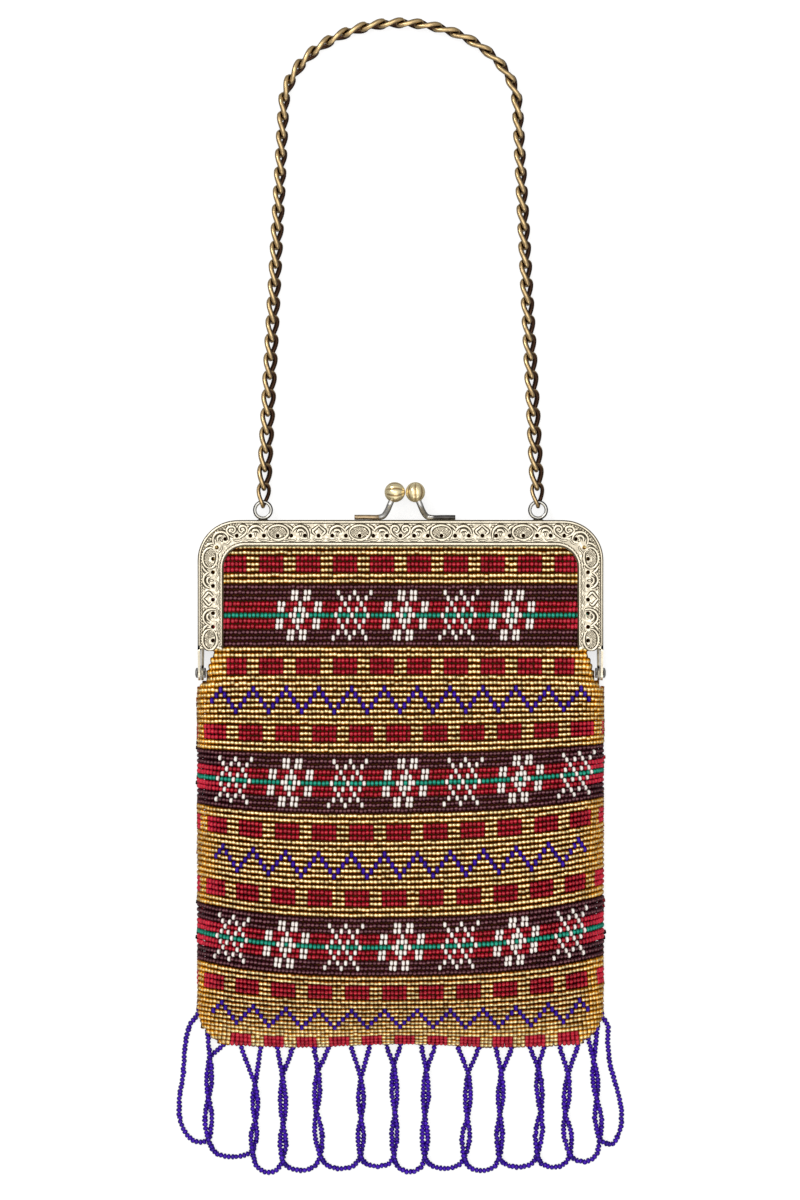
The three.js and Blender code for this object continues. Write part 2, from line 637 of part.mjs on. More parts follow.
// Half the width of the whole back, moved in by an inset.
const backHalf = (y, inset) => (y > -EAR_RADIUS - CLEARANCE ? neckHalf(y) - inset : pouchHalf(y, inset));

// The back, or its lining: inside the frame it lies above the plate, and from the hinges down on the surface.
function backSlab(inset, neckLow, pouchLow, thickness) {
  const places = [
    ...linesBetween(CLOTH_TOP, CLOTH_TOP - FRAME_CORNER, ROW_PITCH),
    LEG_END,
    LEG_END - CLEARANCE,
    EAR_RADIUS,
    -EAR_RADIUS - CLEARANCE,
    -EAR_RADIUS - SHOULDER / 2,
    SHOULDER_END,
    ...linesBetween(POUCH_CORNER - POUCH_DROP, inset - POUCH_DROP, ROW_PITCH),
  ];
  const lines = places.map((y) => {
    const low = y > EAR_RADIUS ? neckLow : pouchLow;
    return { y, half: backHalf(y, inset), low, high: low + thickness };
  });
  return slab(lines);
}

addPiece("back_panel", backSlab(0, BACK_FACE, 0, CLOTH), BEADWORK);
const lowerFront = {
  inset: 0,
  thickness: CLOTH,
  seam: SEAM,
  edge: HEM,
  spacing: ROW_PITCH / 2,
  groove: ROW_GROOVE,
};
addPiece("front_panel_lower", frontShell(lowerFront), BEADWORK);
addPiece("front_panel_fold", frontFold(), BEADWORK);
addPiece("front_panel_upper", upperFront(), BEADWORK);

// Lining

const LINING_INSET = CLOTH + 6 * CLEARANCE; // seams of the pouch to the lining's

function upperLining() {
  const high = FRONT_FACE - CLOTH - CLEARANCE;
  const lines = linesBetween(CLOTH_TOP, UPPER_END, ROW_PITCH).map((y) => ({
    y,
    half: neckHalf(y),
    low: high - LINING,
    high,
  }));
  return slab(lines);
}

addPiece("lining_back", backSlab(LINING_INSET, BACK_FACE + SEAM, SEAM, LINING), LINING_CLOTH);
const lowerLining = {
  inset: LINING_INSET,
  thickness: LINING,
  seam: LINING_SEAM,
  edge: LINING / 2,
  spacing: SMOOTH_PITCH,
  groove: 0,
};
addPiece("lining_front_lower", frontShell(lowerLining), LINING_CLOTH);
addPiece("lining_front_upper", upperLining(), LINING_CLOTH);

// Fringe

const LYING = STRAND / 2 + STRAND_LIFT; // height of a strand that lies on the surface
const TWIST_RISE = STRAND / 2 + CLEARANCE; // half the height of a pair at its crossings

// The place just outside the bottom seam, or round its corner, where a strand leaves it.
function seamPlace(across) {
  const x = fringeX(across);
  const cornerMiddle = POUCH_WIDTH / 2 - POUCH_CORNER;
  const past = Math.abs(x) - cornerMiddle;
  if (past <= 0) {
    return vector(x, -POUCH_DROP - SEAM_GAP, SEAM_RISE);
  }
  const angle = Math.acos(Math.min(past / POUCH_CORNER, 1));
  const reach = POUCH_CORNER + SEAM_GAP;
  const out = Math.sign(x) * (cornerMiddle + reach * Math.cos(angle));
  return vector(out, POUCH_CORNER - POUCH_DROP - reach * Math.sin(angle), SEAM_RISE);
}

const fringeX = (across) => (across * POUCH_WIDTH) / FRINGE_WIDTH;
const fringeY = (down) => -POUCH_DROP - down;

// Points of one strand down a pair. Hand is 1 for the strand from the left and -1 for the other.
function strandDown(pair, hand) {
  const steps = 8;
  const points = [];
  for (let i = 0; i <= steps; i++) {
    const t = i / steps;
    const [from, to] = t < 0.5 ? [pair.upper, pair.middle] : [pair.middle, pair.lower];
    const part = t < 0.5 ? 2 * t : 2 * t - 1;
    const half = t < 0.5 ? LENS_HALF : pair.open;
    const turn = 2 * Math.PI * t;
    points.push(
      vector(
        fringeX(mix(from[0], to[0], part)) + hand * half * Math.sin(turn),
        fringeY(mix(from[1], to[1], part)),
        LYING + TWIST_RISE + hand * TWIST_RISE * Math.cos(turn),
      ),
    );
  }
  return points;
}

// Points of the round bottom of a loop, between the lower crossings of two neighbouring pairs.
function loopBottom(from, to, bottom) {
  return [0.25, 0.5, 0.75].map((share) => {
    const turn = Math.PI * share;
    const across = (1 - Math.cos(turn)) / 2;
    const level = mix(from.lower[1], to.lower[1], across);
    const x = fringeX(mix(from.lower[0], to.lower[0], across));
    return vector(x, fringeY(mix(level, bottom, Math.sin(turn))), LYING);
  });
}

// Each loop leaves the seam at the left of one pair, runs down it, and comes up the next one's right.
function addFringe() {
  const lying = ([across, down]) => vector(fringeX(across), fringeY(down), LYING);
  const first = PAIRS[0];
  const last = PAIRS[PAIRS.length - 1];
  const leftmost = [seamPlace(LEFT_START), ...LEFT_STRAND.map(lying)];
  const rightmost = [...RIGHT_STRAND.map(lying).reverse(), seamPlace(RIGHT_START)];
  const routes = [[...leftmost, ...strandDown(first, -1).reverse(), seamPlace(first.right)]];
  for (let i = 0; i < PAIRS.length - 1; i++) {
    const [from, to] = [PAIRS[i], PAIRS[i + 1]];
    const down = [seamPlace(from.left), ...strandDown(from, 1)];
    const up = [...strandDown(to, -1).reverse(), seamPlace(to.right)];
    routes.push([...down, ...loopBottom(from, to, LOOP_BOTTOMS[i]), ...up]);
  }
  routes.push([seamPlace(last.left), ...strandDown(last, 1), ...rightmost]);
  routes.forEach((points, i) => {
    const name = "fringe_loop_" + String(i + 1).padStart(2, "0");
    addPiece(name, bar(points, STRAND, STRAND_HALF_SIDES, STRAND_STEPS), STRAND_GLASS);
  });
}

addFringe();

export default bag;
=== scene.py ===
"""Dresses the solids of a beaded frame bag: beadwork, lining, fringe, filigree frame, clasp and chain.

Metres, in the solids' own frame: X across the bag, Y up towards the chain, Z out of the front. The bag lies
on its back and the camera looks straight down.
"""

import math

import bpy
import numpy as np
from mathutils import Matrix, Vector


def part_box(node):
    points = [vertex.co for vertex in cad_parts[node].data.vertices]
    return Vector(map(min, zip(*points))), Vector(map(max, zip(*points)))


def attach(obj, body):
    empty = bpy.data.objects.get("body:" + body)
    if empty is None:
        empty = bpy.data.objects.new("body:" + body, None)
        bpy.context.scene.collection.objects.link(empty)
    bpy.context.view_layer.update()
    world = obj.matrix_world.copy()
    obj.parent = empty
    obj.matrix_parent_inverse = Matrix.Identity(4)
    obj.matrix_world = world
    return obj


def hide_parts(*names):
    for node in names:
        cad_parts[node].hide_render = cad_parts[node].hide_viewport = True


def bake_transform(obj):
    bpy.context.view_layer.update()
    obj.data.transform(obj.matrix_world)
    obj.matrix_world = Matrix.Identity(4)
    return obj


bl_info = {
    "name": "Beaded frame bag",
    "version": (1, 0, 0),
    "blender": (4, 5, 0),
    "location": "3D View > Sidebar > Bag",
    "description": "Beadwork, lining, fringe, filigree frame, clasp and chain for a frame bag",
    "category": "Object",
}

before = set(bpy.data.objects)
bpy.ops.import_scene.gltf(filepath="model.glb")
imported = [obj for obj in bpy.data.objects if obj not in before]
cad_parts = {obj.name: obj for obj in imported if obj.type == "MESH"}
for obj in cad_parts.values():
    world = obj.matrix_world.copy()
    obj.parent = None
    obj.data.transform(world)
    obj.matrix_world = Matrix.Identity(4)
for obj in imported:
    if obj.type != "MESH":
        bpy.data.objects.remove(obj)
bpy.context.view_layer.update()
_, FRAME_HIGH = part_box("frame_front")
POUCH_LOW, POUCH_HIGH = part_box("front_panel_lower")

MM = 0.001

# Purse frame
HALF_WIDTH = FRAME_HIGH.x
FRAME_TOP = FRAME_HIGH.y
FRAME_FACE = FRAME_HIGH.z
HINGE_HEIGHT = FRAME_FACE / 2
FRAME_BAND = 9.7 * MM
FRAME_CORNER = 16 * MM
INNER_CORNER = 9 * MM
FRAME_SHEET = 0.9 * MM
HALF_GAP = 0.15 * MM  # from the middle of the frame to the edge of each half
LEG_END = 9 * MM
LEG_ARCH = 1.2 * MM
STRAP_OVERLAP = 4 * MM  # of the back half's straps, inside its rim
EAR_RADIUS = 3 * MM
SEW_INSET = 6.1 * MM
SEW_HOLE = 1.7 * MM
SEW_PITCH = 5.45 * MM
EAR_GAP = 0.3 * MM  # between the ears of the two halves
INNER_EAR = HALF_WIDTH - 2 * FRAME_SHEET - EAR_GAP

# Pouch
POUCH_HALF = POUCH_HIGH.x
POUCH_DROP = -POUCH_LOW.y
SEAM = POUCH_LOW.z
POUCH_DEPTH = 27 * MM
POUCH_FULL = 92 * MM
POUCH_FALL = 2.4  # exponents of the front's fall from its crown to the bottom seam
POUCH_SEAM_FALL = 0.85
POUCH_CORNER = 16 * MM
POUCH_SQUARENESS = 4
NECK_SQUARENESS = 14
FACE_INSET = 1.2 * MM  # from the frame's faces in to the cloth
FRONT_FACE = FRAME_FACE - FACE_INSET
BACK_FACE = FACE_INSET
HINGE_HALF = 77.7 * MM
NECK_TUCK = 3.4 * MM  # how far the beads run under the frame's legs
NECK_HALF = HALF_WIDTH - FRAME_BAND + NECK_TUCK
SHOULDER_START = 3.3 * MM
SHOULDER = 2.4 * MM
FOLD_LOW = 6 * MM  # the front bends from here below the hinge line
ROWS_TUCK = 0.25 * MM  # how far the top row runs under the frame's band
ROWS_TOP = FRAME_TOP - FRAME_BAND + ROWS_TUCK

# How the cloth turns away at its sides and bottom seam
SIDE_FROM = 0.86  # share of the half width at which it starts to turn away
SIDE_STAND = 0.8 * MM  # how far the sides stand out of the solids' outline
SIDE_STAND_DROP = 10 * MM  # how far below the hinges they do so in full
SEAM_FROM = 0.9  # share of the drop at which it starts to turn in to the bottom seam
SEAM_TURN = 0.08  # share of the drop in which it does so
SEAM_LIFT = 0.7  # how much the beads there keep their faces up
SEAM_LIGHT_SHARE = 0.35  # how much of the sides' painted light they take

# How the rows lie
ROW_CLOSING = 0.03  # how much closer the rows are at the bottom
ROW_SAMPLES = 4000  # points down the middle, from which the rows' places are read
ROW_SAMPLE_POWER = 0.7  # below 1, so that they are closer together at the bottom
ROW_TILT = 1.5 * MM  # how much further a row rises at its right end than at its middle
SAG_PEAK = 0.72  # share of the drop at which the rows sag most
SAG_GROWTH = 1.2  # exponent of the sag's growth down to there
SAG_BEND = 2.5  # exponent of a row's rise from its middle to its ends
SHOULDER_DROOP = 1.1 * MM
SHOULDER_MIDDLE = 9 * MM  # hinge line to the row that droops most
DROOP_SPREAD = 1.5 * SHOULDER_MIDDLE
DROOP_BEND = 8  # exponent of the droop towards a row's ends
SEAM_WAVE = 0.7 * MM
SEAM_WAVE_LENGTH = 90 * MM
SEAM_WAVE_FROM = 0.86  # share of the drop at which the wave starts

# The camera looks down on a field of this size, at about the height of the frame
FIELD_HEIGHT = 480 * MM
FIELD_MIDDLE = (-0.2 * MM, 29.2 * MM, 10 * MM)
LENS = 150
SENSOR = 36


def srgb(red, green, blue):
    """The linear colour of a screen colour with parts from 0 to 255."""
    parts = []
    for value in (red, green, blue):
        share = value / 255
        parts.append(share / 12.92 if share <= 0.04045 else ((share + 0.055) / 1.055) ** 2.4)
    return tuple(parts)


def colour(name, description, red, green, blue):
    """A colour property with a screen colour as its default."""
    default = srgb(red, green, blue)
    return bpy.props.FloatVectorProperty(
        name=name, description=description, subtype="COLOR", size=3, min=0, max=1, default=default
    )


def length(name, description, default):
    """A length property, in metres."""
    return bpy.props.FloatProperty(
        name=name, description=description, default=default, min=0, unit="LENGTH", precision=5
    )


class BagSizes(bpy.types.PropertyGroup):
    """Sizes of the beads, the chain's wire and the metal relief"""

    row_count: bpy.props.IntProperty(
        name="Bead rows", description="Rows of beads from the frame to the bottom seam", default=95, min=30
    )
    bead_pitch: length("Bead pitch", "From one bead to the next along a row", 1.64 * MM)
    bead_depth: length("Bead depth", "Half the thickness of a bead", 1.05 * MM)
    row_sag: length("Row sag", "How far the ends of a row stand above its middle, at most", 6.6 * MM)
    strand_diameter: length("Strand diameter", "Diameter of the beads in the fringe", 2.3 * MM)
    strand_pitch: length("Strand pitch", "From one bead of the fringe to the next", 1.55 * MM)
    link_wire: length("Link wire", "Diameter of the chain's wire", 2.05 * MM)
    ridge_width: length("Ridge width", "Width of the filigree's ridges", 0.9 * MM)
    ridge_height: length("Ridge height", "Height of the filigree's ridges", 0.34 * MM)


class BagColours(bpy.types.PropertyGroup):
    """Colours of the beads, cloth and metals"""

    # Each bead's brightest colour is a painted highlight, and its edge colour is painted shade at its edges
    # and ends
    gold_heart: colour("Gold heart", "Bright line along a gold bead", 255, 242, 180)
    gold_body: colour("Gold body", "Body of a gold bead", 196, 108, 0)
    gold_edge: colour("Gold edge", "Edge of a gold bead", 84, 42, 0)
    # Painted light: a brighter colour for gold beads where the cloth turns away, at the sides and at the
    # bottom seam
    gold_turned: colour("Gold at the sides", "Gold beads where the cloth turns away", 252, 168, 20)
    red_heart: colour("Red heart", "Highlight of a red bead", 196, 54, 66)
    red_body: colour("Red body", "Body of a red bead", 146, 0, 24)
    red_edge: colour("Red edge", "Edge of a red bead", 66, 0, 12)
    # Painted light: a brighter colour for red beads where the cloth turns away, at the sides and at the
    # bottom seam
    red_turned: colour("Red at the sides", "Red beads where the cloth turns away", 232, 40, 70)
    maroon_heart: colour("Maroon heart", "Highlight of a maroon bead", 126, 82, 88)
    maroon_body: colour("Maroon body", "Body of a maroon bead", 58, 10, 22)
    maroon_edge: colour("Maroon edge", "Edge of a maroon bead", 30, 4, 10)
    green_heart: colour("Green heart", "Highlight of a green bead", 44, 164, 138)
    green_body: colour("Green body", "Body of a green bead", 0, 122, 96)
    green_edge: colour("Green edge", "Edge of a green bead", 0, 62, 48)
    white_heart: colour("White heart", "Highlight of a white bead", 252, 245, 238)
    white_body: colour("White body", "Body of a white bead", 240, 228, 220)
    white_edge: colour("White edge", "Edge of a white bead", 112, 84, 78)
    violet_heart: colour("Violet heart", "Highlight of a violet bead", 68, 20, 170)
    violet_body: colour("Violet body", "Body of a violet bead", 42, 0, 136)
    violet_edge: colour("Violet edge", "Edge of a violet bead", 26, 0, 96)
    thread: colour("Thread", "Thread and net behind the beads", 70, 42, 16)
    lining: colour("Lining", "Satin inside the pouch", 92, 28, 38)
    # The dark colours of the metals are both their tarnish and painted shade, and their bright colours both
    # worn metal and painted highlights
    frame_bright: colour("Frame", "Raised metal of the frame", 238, 227, 203)
    frame_dark: colour("Frame recess", "Tarnish in the frame's recesses", 58, 50, 36)
    nickel_bright: colour("Nickel", "Clasp arms and rivets", 206, 204, 200)
    nickel_dark: colour("Nickel recess", "Tarnish on the clasp arms and rivets", 48, 44, 42)
    copper_bright: colour("Copper", "Warm metal of the front clasp arm", 184, 160, 126)
    ball_bright: colour("Clasp ball", "Pale gold of the clasp balls", 255, 238, 190)
    ball_dark: colour("Clasp ball groove", "Tarnish in the balls' grooves", 150, 106, 46)
    eye_bright: colour("Chain eye", "Silver of the chain's eyes", 206, 204, 196)
    chain_bright: colour("Chain", "Raised brass of the links", 214, 184, 134)
    chain_dark: colour("Chain recess", "Tarnish between the links", 66, 46, 34)
    floor: colour("Floor", "The surface that the bag lies on", 160, 160, 160)


# Glass: the ranges in which a bead's painted highlight fades, painted shade darkens its edge and painted
# shade darkens its ends
HIGHLIGHT_FADE = (0.35, 1.0)
EDGE_SHADE_FADE = (0.0, 0.5)
END_FADE = (0.45, 1.0)
HIGHLIGHT_TURN = 0.2  # how much of the sides' painted light a highlight takes where the cloth turns away
EDGE_SHADE_TURN = 0.45  # and how much the painted shade of an edge takes
GLASS_ROUGHNESS = 0.25
GLASS_SHINE = 0.18
# Metal: scales of its pits and of its worn patches, and the ranges in which they and its crests show, where
# the crests' value also carries painted highlight and painted shade
PIT_SCALE = 950.0
PIT_FADE = (0.3, 0.55)
PIT_DEPTH = 0.42  # how much a pit darkens a matted ground
PATCH_SCALE = 420.0
PATCH_FADE = (0.35, 0.75)
WEAR_AND_LIGHT_FADE = (0.05, 0.85)
WORN_ROUGHNESS = 0.5  # how much rougher a worn patch is
# Each metal's colours on its crests and painted highlights and in its recesses and painted shade, how
# tarnished and how rough it is, and how metallic
METALS = {
    "frame_metal": ("frame_bright", "frame_dark", 0.12, 0.34, 1.0),
    "rivet_metal": ("nickel_bright", "nickel_dark", 0.4, 0.35, 1.0),
    "clasp_metal": ("nickel_bright", "nickel_dark", 0.1, 0.3, 1.0),
    "clasp_foot_metal": ("copper_bright", "nickel_dark", 0.25, 0.32, 1.0),
    "ball_metal": ("ball_bright", "ball_dark", 0.05, 0.24, 0.8),
    "eye_metal": ("eye_bright", "nickel_dark", 0.1, 0.2, 1.0),
    "chain_metal": ("chain_bright", "chain_dark", 0.35, 0.22, 1.0),
}
# Each cloth's colour, the turn of its weave in radians to a metre, its roughness, its sheen and its shine
CLOTHS = {"bead_net": ("thread", 900, 0.8, 0.0, 0.0), "satin_lining": ("lining", 2500, 0.45, 0.3, 0.5)}
WAVE_TURN = 20  # radians in a metre of a wave texture of scale 1
WEAVE_DISTORTION = 0.6
WEAVE_SHARE = 0.5  # how much of the shade is weave
CLOUD_SCALE = 60.0
CLOUD_SHARE = 0.5  # how much of it is clouds
CLOTH_DARK = 0.45
WEAVE_BUMP = 0.4
WEAVE_HEIGHT = 0.2 * MM


def set_inputs(node, values):
    """Sets some of a node's inputs, by name."""
    for label, value in values.items():
        node.inputs[label].default_value = value


def feed(tree, given, socket):
    """Gives an input a link, from a socket, or a plain value."""
    if isinstance(given, bpy.types.NodeSocket):
        tree.links.new(given, socket)
    else:
        socket.default_value = given


def node_group(name, inputs, outputs):
    """A new shader node group with sockets of given names and kinds, and its input and output nodes."""
    group = bpy.data.node_groups.new(name, "ShaderNodeTree")
    for way, sockets in (("INPUT", inputs), ("OUTPUT", outputs)):
        for label, kind in sockets.items():
            group.interface.new_socket(label, in_out=way, socket_type="NodeSocket" + kind)
    return group, group.nodes.new("NodeGroupInput"), group.nodes.new("NodeGroupOutput")


def attribute_node(tree, name):
    """The value of a mesh's point attribute."""
    node = tree.nodes.new("ShaderNodeAttribute")
    node.attribute_name = name
    return node.outputs["Fac"]


def ramp_between(tree, value, low, high):
    """0 at low, 1 at high and smooth between."""
    node = tree.nodes.new("ShaderNodeMapRange")
    node.interpolation_type = "SMOOTHSTEP"
    set_inputs(node, {"From Min": low, "From Max": high})
    tree.links.new(value, node.inputs["Value"])
    return node.outputs["Result"]


def mixed(tree, factor, first, second, blend="MIX"):
    """A colour mix. Each input is a socket or a plain value."""
    node = tree.nodes.new("ShaderNodeMix")
    node.data_type = "RGBA"
    node.blend_type = blend
    for number, given in ((0, factor), (6, first), (7, second)):
        feed(tree, given, node.inputs[number])
    return node.outputs[2]


def reckoned(tree, operation, first, second):
    """A sum, product or other reckoning of two values, each a socket or a number."""
    node = tree.nodes.new("ShaderNodeMath")
    node.operation = operation
    feed(tree, first, node.inputs[0])
    feed(tree, second, node.inputs[1])
    return node.outputs[0]


def times(tree, first, second):
    """The product of two values."""
    return reckoned(tree, "MULTIPLY", first, second)


def texture(tree, kind, values):
    """A texture node that follows the object's own coordinates, with some inputs set."""
    coordinates = tree.nodes.new("ShaderNodeTexCoord")
    node = tree.nodes.new(kind)
    set_inputs(node, values)
    tree.links.new(coordinates.outputs["Object"], node.inputs["Vector"])
    return node


def noise(tree, scale):
    """Soft patches, from 0 to 1."""
    return texture(tree, "ShaderNodeTexNoise", {"Scale": scale, "Detail": 3.0}).outputs["Fac"]


def bead_group():
    """Colour of a glass bead: a painted highlight, painted shade at its edge and ends, a brighter painted
    side colour where the cloth turns away, and a tone of its own.
    """
    existing = bpy.data.node_groups.get("bead_glass")
    if existing:
        return existing
    colours = dict.fromkeys(("Heart", "Body", "Edge", "Side"), "Color")
    values = dict.fromkeys(("Heart Width", "Edge Start", "End Shade", "Variation"), "Float")
    group, given, out = node_group("bead_glass", colours | values, {"Color": "Color"})
    across = attribute_node(group, "across")
    end = attribute_node(group, "end")
    tone = attribute_node(group, "tone")
    side = attribute_node(group, "side")
    # Where the cloth turns away, the body, and in part the highlight and the edge, take the side colour,
    # which is painted light
    body = mixed(group, side, given.outputs["Body"], given.outputs["Side"])
    heart = mixed(group, times(group, side, HIGHLIGHT_TURN), given.outputs["Heart"], given.outputs["Side"])
    edge = mixed(group, times(group, side, EDGE_SHADE_TURN), given.outputs["Edge"], given.outputs["Side"])
    from_highlight = reckoned(group, "DIVIDE", across, given.outputs["Heart Width"])
    lit = mixed(group, ramp_between(group, from_highlight, *HIGHLIGHT_FADE), heart, body)
    from_edge_shade = reckoned(group, "SUBTRACT", across, given.outputs["Edge Start"])
    edge_shaded = mixed(group, ramp_between(group, from_edge_shade, *EDGE_SHADE_FADE), lit, edge)
    at_end = times(group, ramp_between(group, end, *END_FADE), given.outputs["End Shade"])
    ended = mixed(group, at_end, edge_shaded, edge)
    swing = times(group, reckoned(group, "SUBTRACT", tone, 0.5), given.outputs["Variation"])
    level = reckoned(group, "ADD", swing, 1.0)
    group.links.new(mixed(group, 1.0, ended, level, "MULTIPLY"), out.inputs["Color"])
    return group


def metal_group():
    """Colour and roughness of old plated metal: bright on its crests and where highlights are painted, dark
    in its tarnished recesses and where shade is painted.
    """
    existing = bpy.data.node_groups.get("antique_metal")
    if existing:
        return existing
    inputs = {"Bright": "Color", "Dark": "Color", "Tarnish": "Float", "Roughness": "Float"}
    outputs = {"Color": "Color", "Roughness": "Float"}
    group, given, out = node_group("antique_metal", inputs, outputs)
    # The point value paints highlights bright and shade dark, along with worn crests and tarnished recesses
    crest = ramp_between(group, attribute_node(group, "crest"), *WEAR_AND_LIGHT_FADE)
    cells = texture(group, "ShaderNodeTexVoronoi", {"Scale": PIT_SCALE})
    pits = ramp_between(group, cells.outputs["Distance"], *PIT_FADE)
    matted = times(group, times(group, pits, attribute_node(group, "ground")), PIT_DEPTH)
    crest = reckoned(group, "SUBTRACT", crest, matted)
    patches = ramp_between(group, noise(group, PATCH_SCALE), *PATCH_FADE)
    worn = times(group, patches, given.outputs["Tarnish"])
    share = reckoned(group, "SUBTRACT", crest, worn)
    kept = reckoned(group, "MAXIMUM", share, 0.0)
    group.links.new(mixed(group, kept, given.outputs["Dark"], given.outputs["Bright"]), out.inputs["Color"])
    rough = reckoned(group, "ADD", given.outputs["Roughness"], times(group, worn, WORN_ROUGHNESS))
    group.links.new(rough, out.inputs["Roughness"])
    return group


def new_material(name):
    """A material with nodes, with its tree and its shader."""
    material = bpy.data.materials.new(name)
    material.use_nodes = True
    return material, material.node_tree, material.node_tree.nodes["Principled BSDF"]


def solid_colour(values):
    """A colour with full alpha."""
    return (*values, 1.0)


def group_node(tree, group, colours, values):
    """A node that uses a shader group, with its colours and values set by name."""
    node = tree.nodes.new("ShaderNodeGroup")
    node.node_tree = group
    set_inputs(node, {label: solid_colour(parts) for label, parts in colours.items()})
    set_inputs(node, values)
    return node


def bead_material(name, heart, body, edge, side, highlight_width, edge_shade_start, end_shade, variation, lining):
    """Glass of one colour of bead."""
    material, tree, shader = new_material(name)
    glass = group_node(
        tree,
        bead_group(),
        {"Heart": heart, "Body": body, "Edge": edge, "Side": side},
        {
            "Heart Width": highlight_width,
            "Edge Start": edge_shade_start,
            "End Shade": end_shade,
            "Variation": variation,
        },
    )
    tree.links.new(glass.outputs["Color"], shader.inputs["Base Color"])
    set_inputs(
        shader, {"Roughness": GLASS_ROUGHNESS, "Metallic": lining, "Specular IOR Level": GLASS_SHINE}
    )
    return material


def metal_material(name, colours):
    """Plated metal, bright on its crests and where highlights are painted, tarnished in its recesses and dark
    where shade is painted.
    """
    bright, dark, tarnish, roughness, metallic = METALS[name]
    material, tree, shader = new_material(name)
    plating = group_node(
        tree,
        metal_group(),
        {"Bright": getattr(colours, bright), "Dark": getattr(colours, dark)},
        {"Tarnish": tarnish, "Roughness": roughness},
    )
    tree.links.new(plating.outputs["Color"], shader.inputs["Base Color"])
    tree.links.new(plating.outputs["Roughness"], shader.inputs["Roughness"])
    shader.inputs["Metallic"].default_value = metallic
    return material


def cloth_material(name, colours):
    """Cloth with a cross weave."""
    thread, weave_turn, roughness, sheen, shine = CLOTHS[name]
    base = getattr(colours, thread)
    material, tree, shader = new_material(name)
    weave = []
    for direction in ("X", "Y"):
        wave = texture(
            tree, "ShaderNodeTexWave", {"Scale": weave_turn / WAVE_TURN, "Distortion": WEAVE_DISTORTION}
        )
        wave.bands_direction = direction
        weave.append(wave.outputs["Fac"])
    threads = times(tree, *weave)
    cloudy = times(tree, noise(tree, CLOUD_SCALE), CLOUD_SHARE)
    shade = reckoned(tree, "ADD", times(tree, threads, WEAVE_SHARE), cloudy)
    dark = solid_colour([CLOTH_DARK * part for part in base])
    tree.links.new(mixed(tree, shade, dark, solid_colour(base)), shader.inputs["Base Color"])
    bump = tree.nodes.new("ShaderNodeBump")
    set_inputs(bump, {"Strength": WEAVE_BUMP, "Distance": WEAVE_HEIGHT})
    tree.links.new(threads, bump.inputs["Height"])
    tree.links.new(bump.outputs["Normal"], shader.inputs["Normal"])
    set_inputs(shader, {"Roughness": roughness, "Sheen Weight": sheen, "Specular IOR Level": shine})
    return material


# Mesh helpers


def eased(t):
    """0 below 0, 1 above 1 and smooth between."""
    t = np.clip(t, 0, 1)
    return t * t * (3 - 2 * t)


def mix(a, b, t):
    """From a to b as t goes from 0 to 1."""
    return a + (b - a) * t


def unit(vectors):
    """Vectors of the same directions and of length 1."""
    return vectors / np.linalg.norm(vectors, axis=-1, keepdims=True)


def round_turns(count):
    """Angles evenly spaced round a circle."""
    return 2 * np.pi * np.arange(count) / count


def add_piece(name, vertices, faces, material, values=None):
    """A new smooth mesh piece with point values by name."""
    mesh = bpy.data.meshes.new(name)
    mesh.from_pydata(np.asarray(vertices).tolist(), [], faces)
    mesh.shade_smooth()
    for key, numbers in (values or {}).items():
        layer = mesh.attributes.new(key, "FLOAT", "POINT")
        layer.data.foreach_set("value", np.asarray(numbers, np.float32))
    mesh.materials.append(material)
    piece = bpy.data.objects.new(name, mesh)
    bpy.context.scene.collection.objects.link(piece)
    return piece


class Heap:
    """Metal shapes gathered into one piece, with two point values: how bright the metal is, on its raised and
    worn parts and where highlights are painted, down to its tarnish and painted shade, and how much of a
    matted ground it has."""

    def __init__(self):
        self.vertices = []
        self.faces = []
        self.crest = []
        self.ground = []

    def add(self, vertices, faces, crest, ground=0.0):
        """Adds a shape, with one value of brightness, from wear and painted light, for all of it or one for
        each point.
        """
        start = len(self.vertices)
        count = len(vertices)
        self.vertices.extend(np.asarray(vertices).tolist())
        self.faces.extend([[start + i for i in face] for face in faces])
        self.crest.extend(np.broadcast_to(np.asarray(crest, float), count).tolist())
        self.ground.extend([ground] * count)

    def piece(self, name, material, slot):
        """The mesh piece of all that was added."""
        values = {"crest": self.crest, "ground": self.ground}
        return add_piece(name, self.vertices, self.faces, material, values)


def grid_faces(rows, columns, closed=False, looped=False):
    """Quads of a grid of points, whose columns may close into a ring and whose rows may close into a loop."""
    faces = []
    for row in range(rows if looped else rows - 1):
        here = row * columns
        below = (row + 1) % rows * columns
        for column in range(columns if closed else columns - 1):
            beside = (column + 1) % columns
            faces.append([here + column, here + beside, below + beside, below + column])
    return faces


def capped_faces(rows, columns, closed=True):
    """Faces of a grid of points, with its first and last rows filled."""
    last = (rows - 1) * columns
    return [*grid_faces(rows, columns, closed), list(range(columns))[::-1], list(range(last, last + columns))]


def curve_through(points, spacing):
    """Points about a given spacing apart on a smooth curve through some points."""
    points = np.asarray(points, float)
    ends = [2 * points[0] - points[1], *points, 2 * points[-1] - points[-2]]
    found = []
    for before, start, stop, after in zip(ends, ends[1:], ends[2:], ends[3:]):
        gaps = [math.sqrt(np.linalg.norm(b - a)) for a, b in ((before, start), (start, stop), (stop, after))]
        leave = (start - before) / gaps[0] - (stop - before) / (gaps[0] + gaps[1]) + (stop - start) / gaps[1]
        arrive = (stop - start) / gaps[1] - (after - start) / (gaps[1] + gaps[2]) + (after - stop) / gaps[2]
        steps = max(2, math.ceil(np.linalg.norm(stop - start) / spacing))
        for t in np.arange(steps) / steps:
            found.append(
                (2 * t**3 - 3 * t**2 + 1) * start
                + (t**3 - 2 * t**2 + t) * leave * gaps[1]
                + (3 * t**2 - 2 * t**3) * stop
                + (t**3 - t**2) * arrive * gaps[1]
            )
    return np.array([*found, points[-1]])


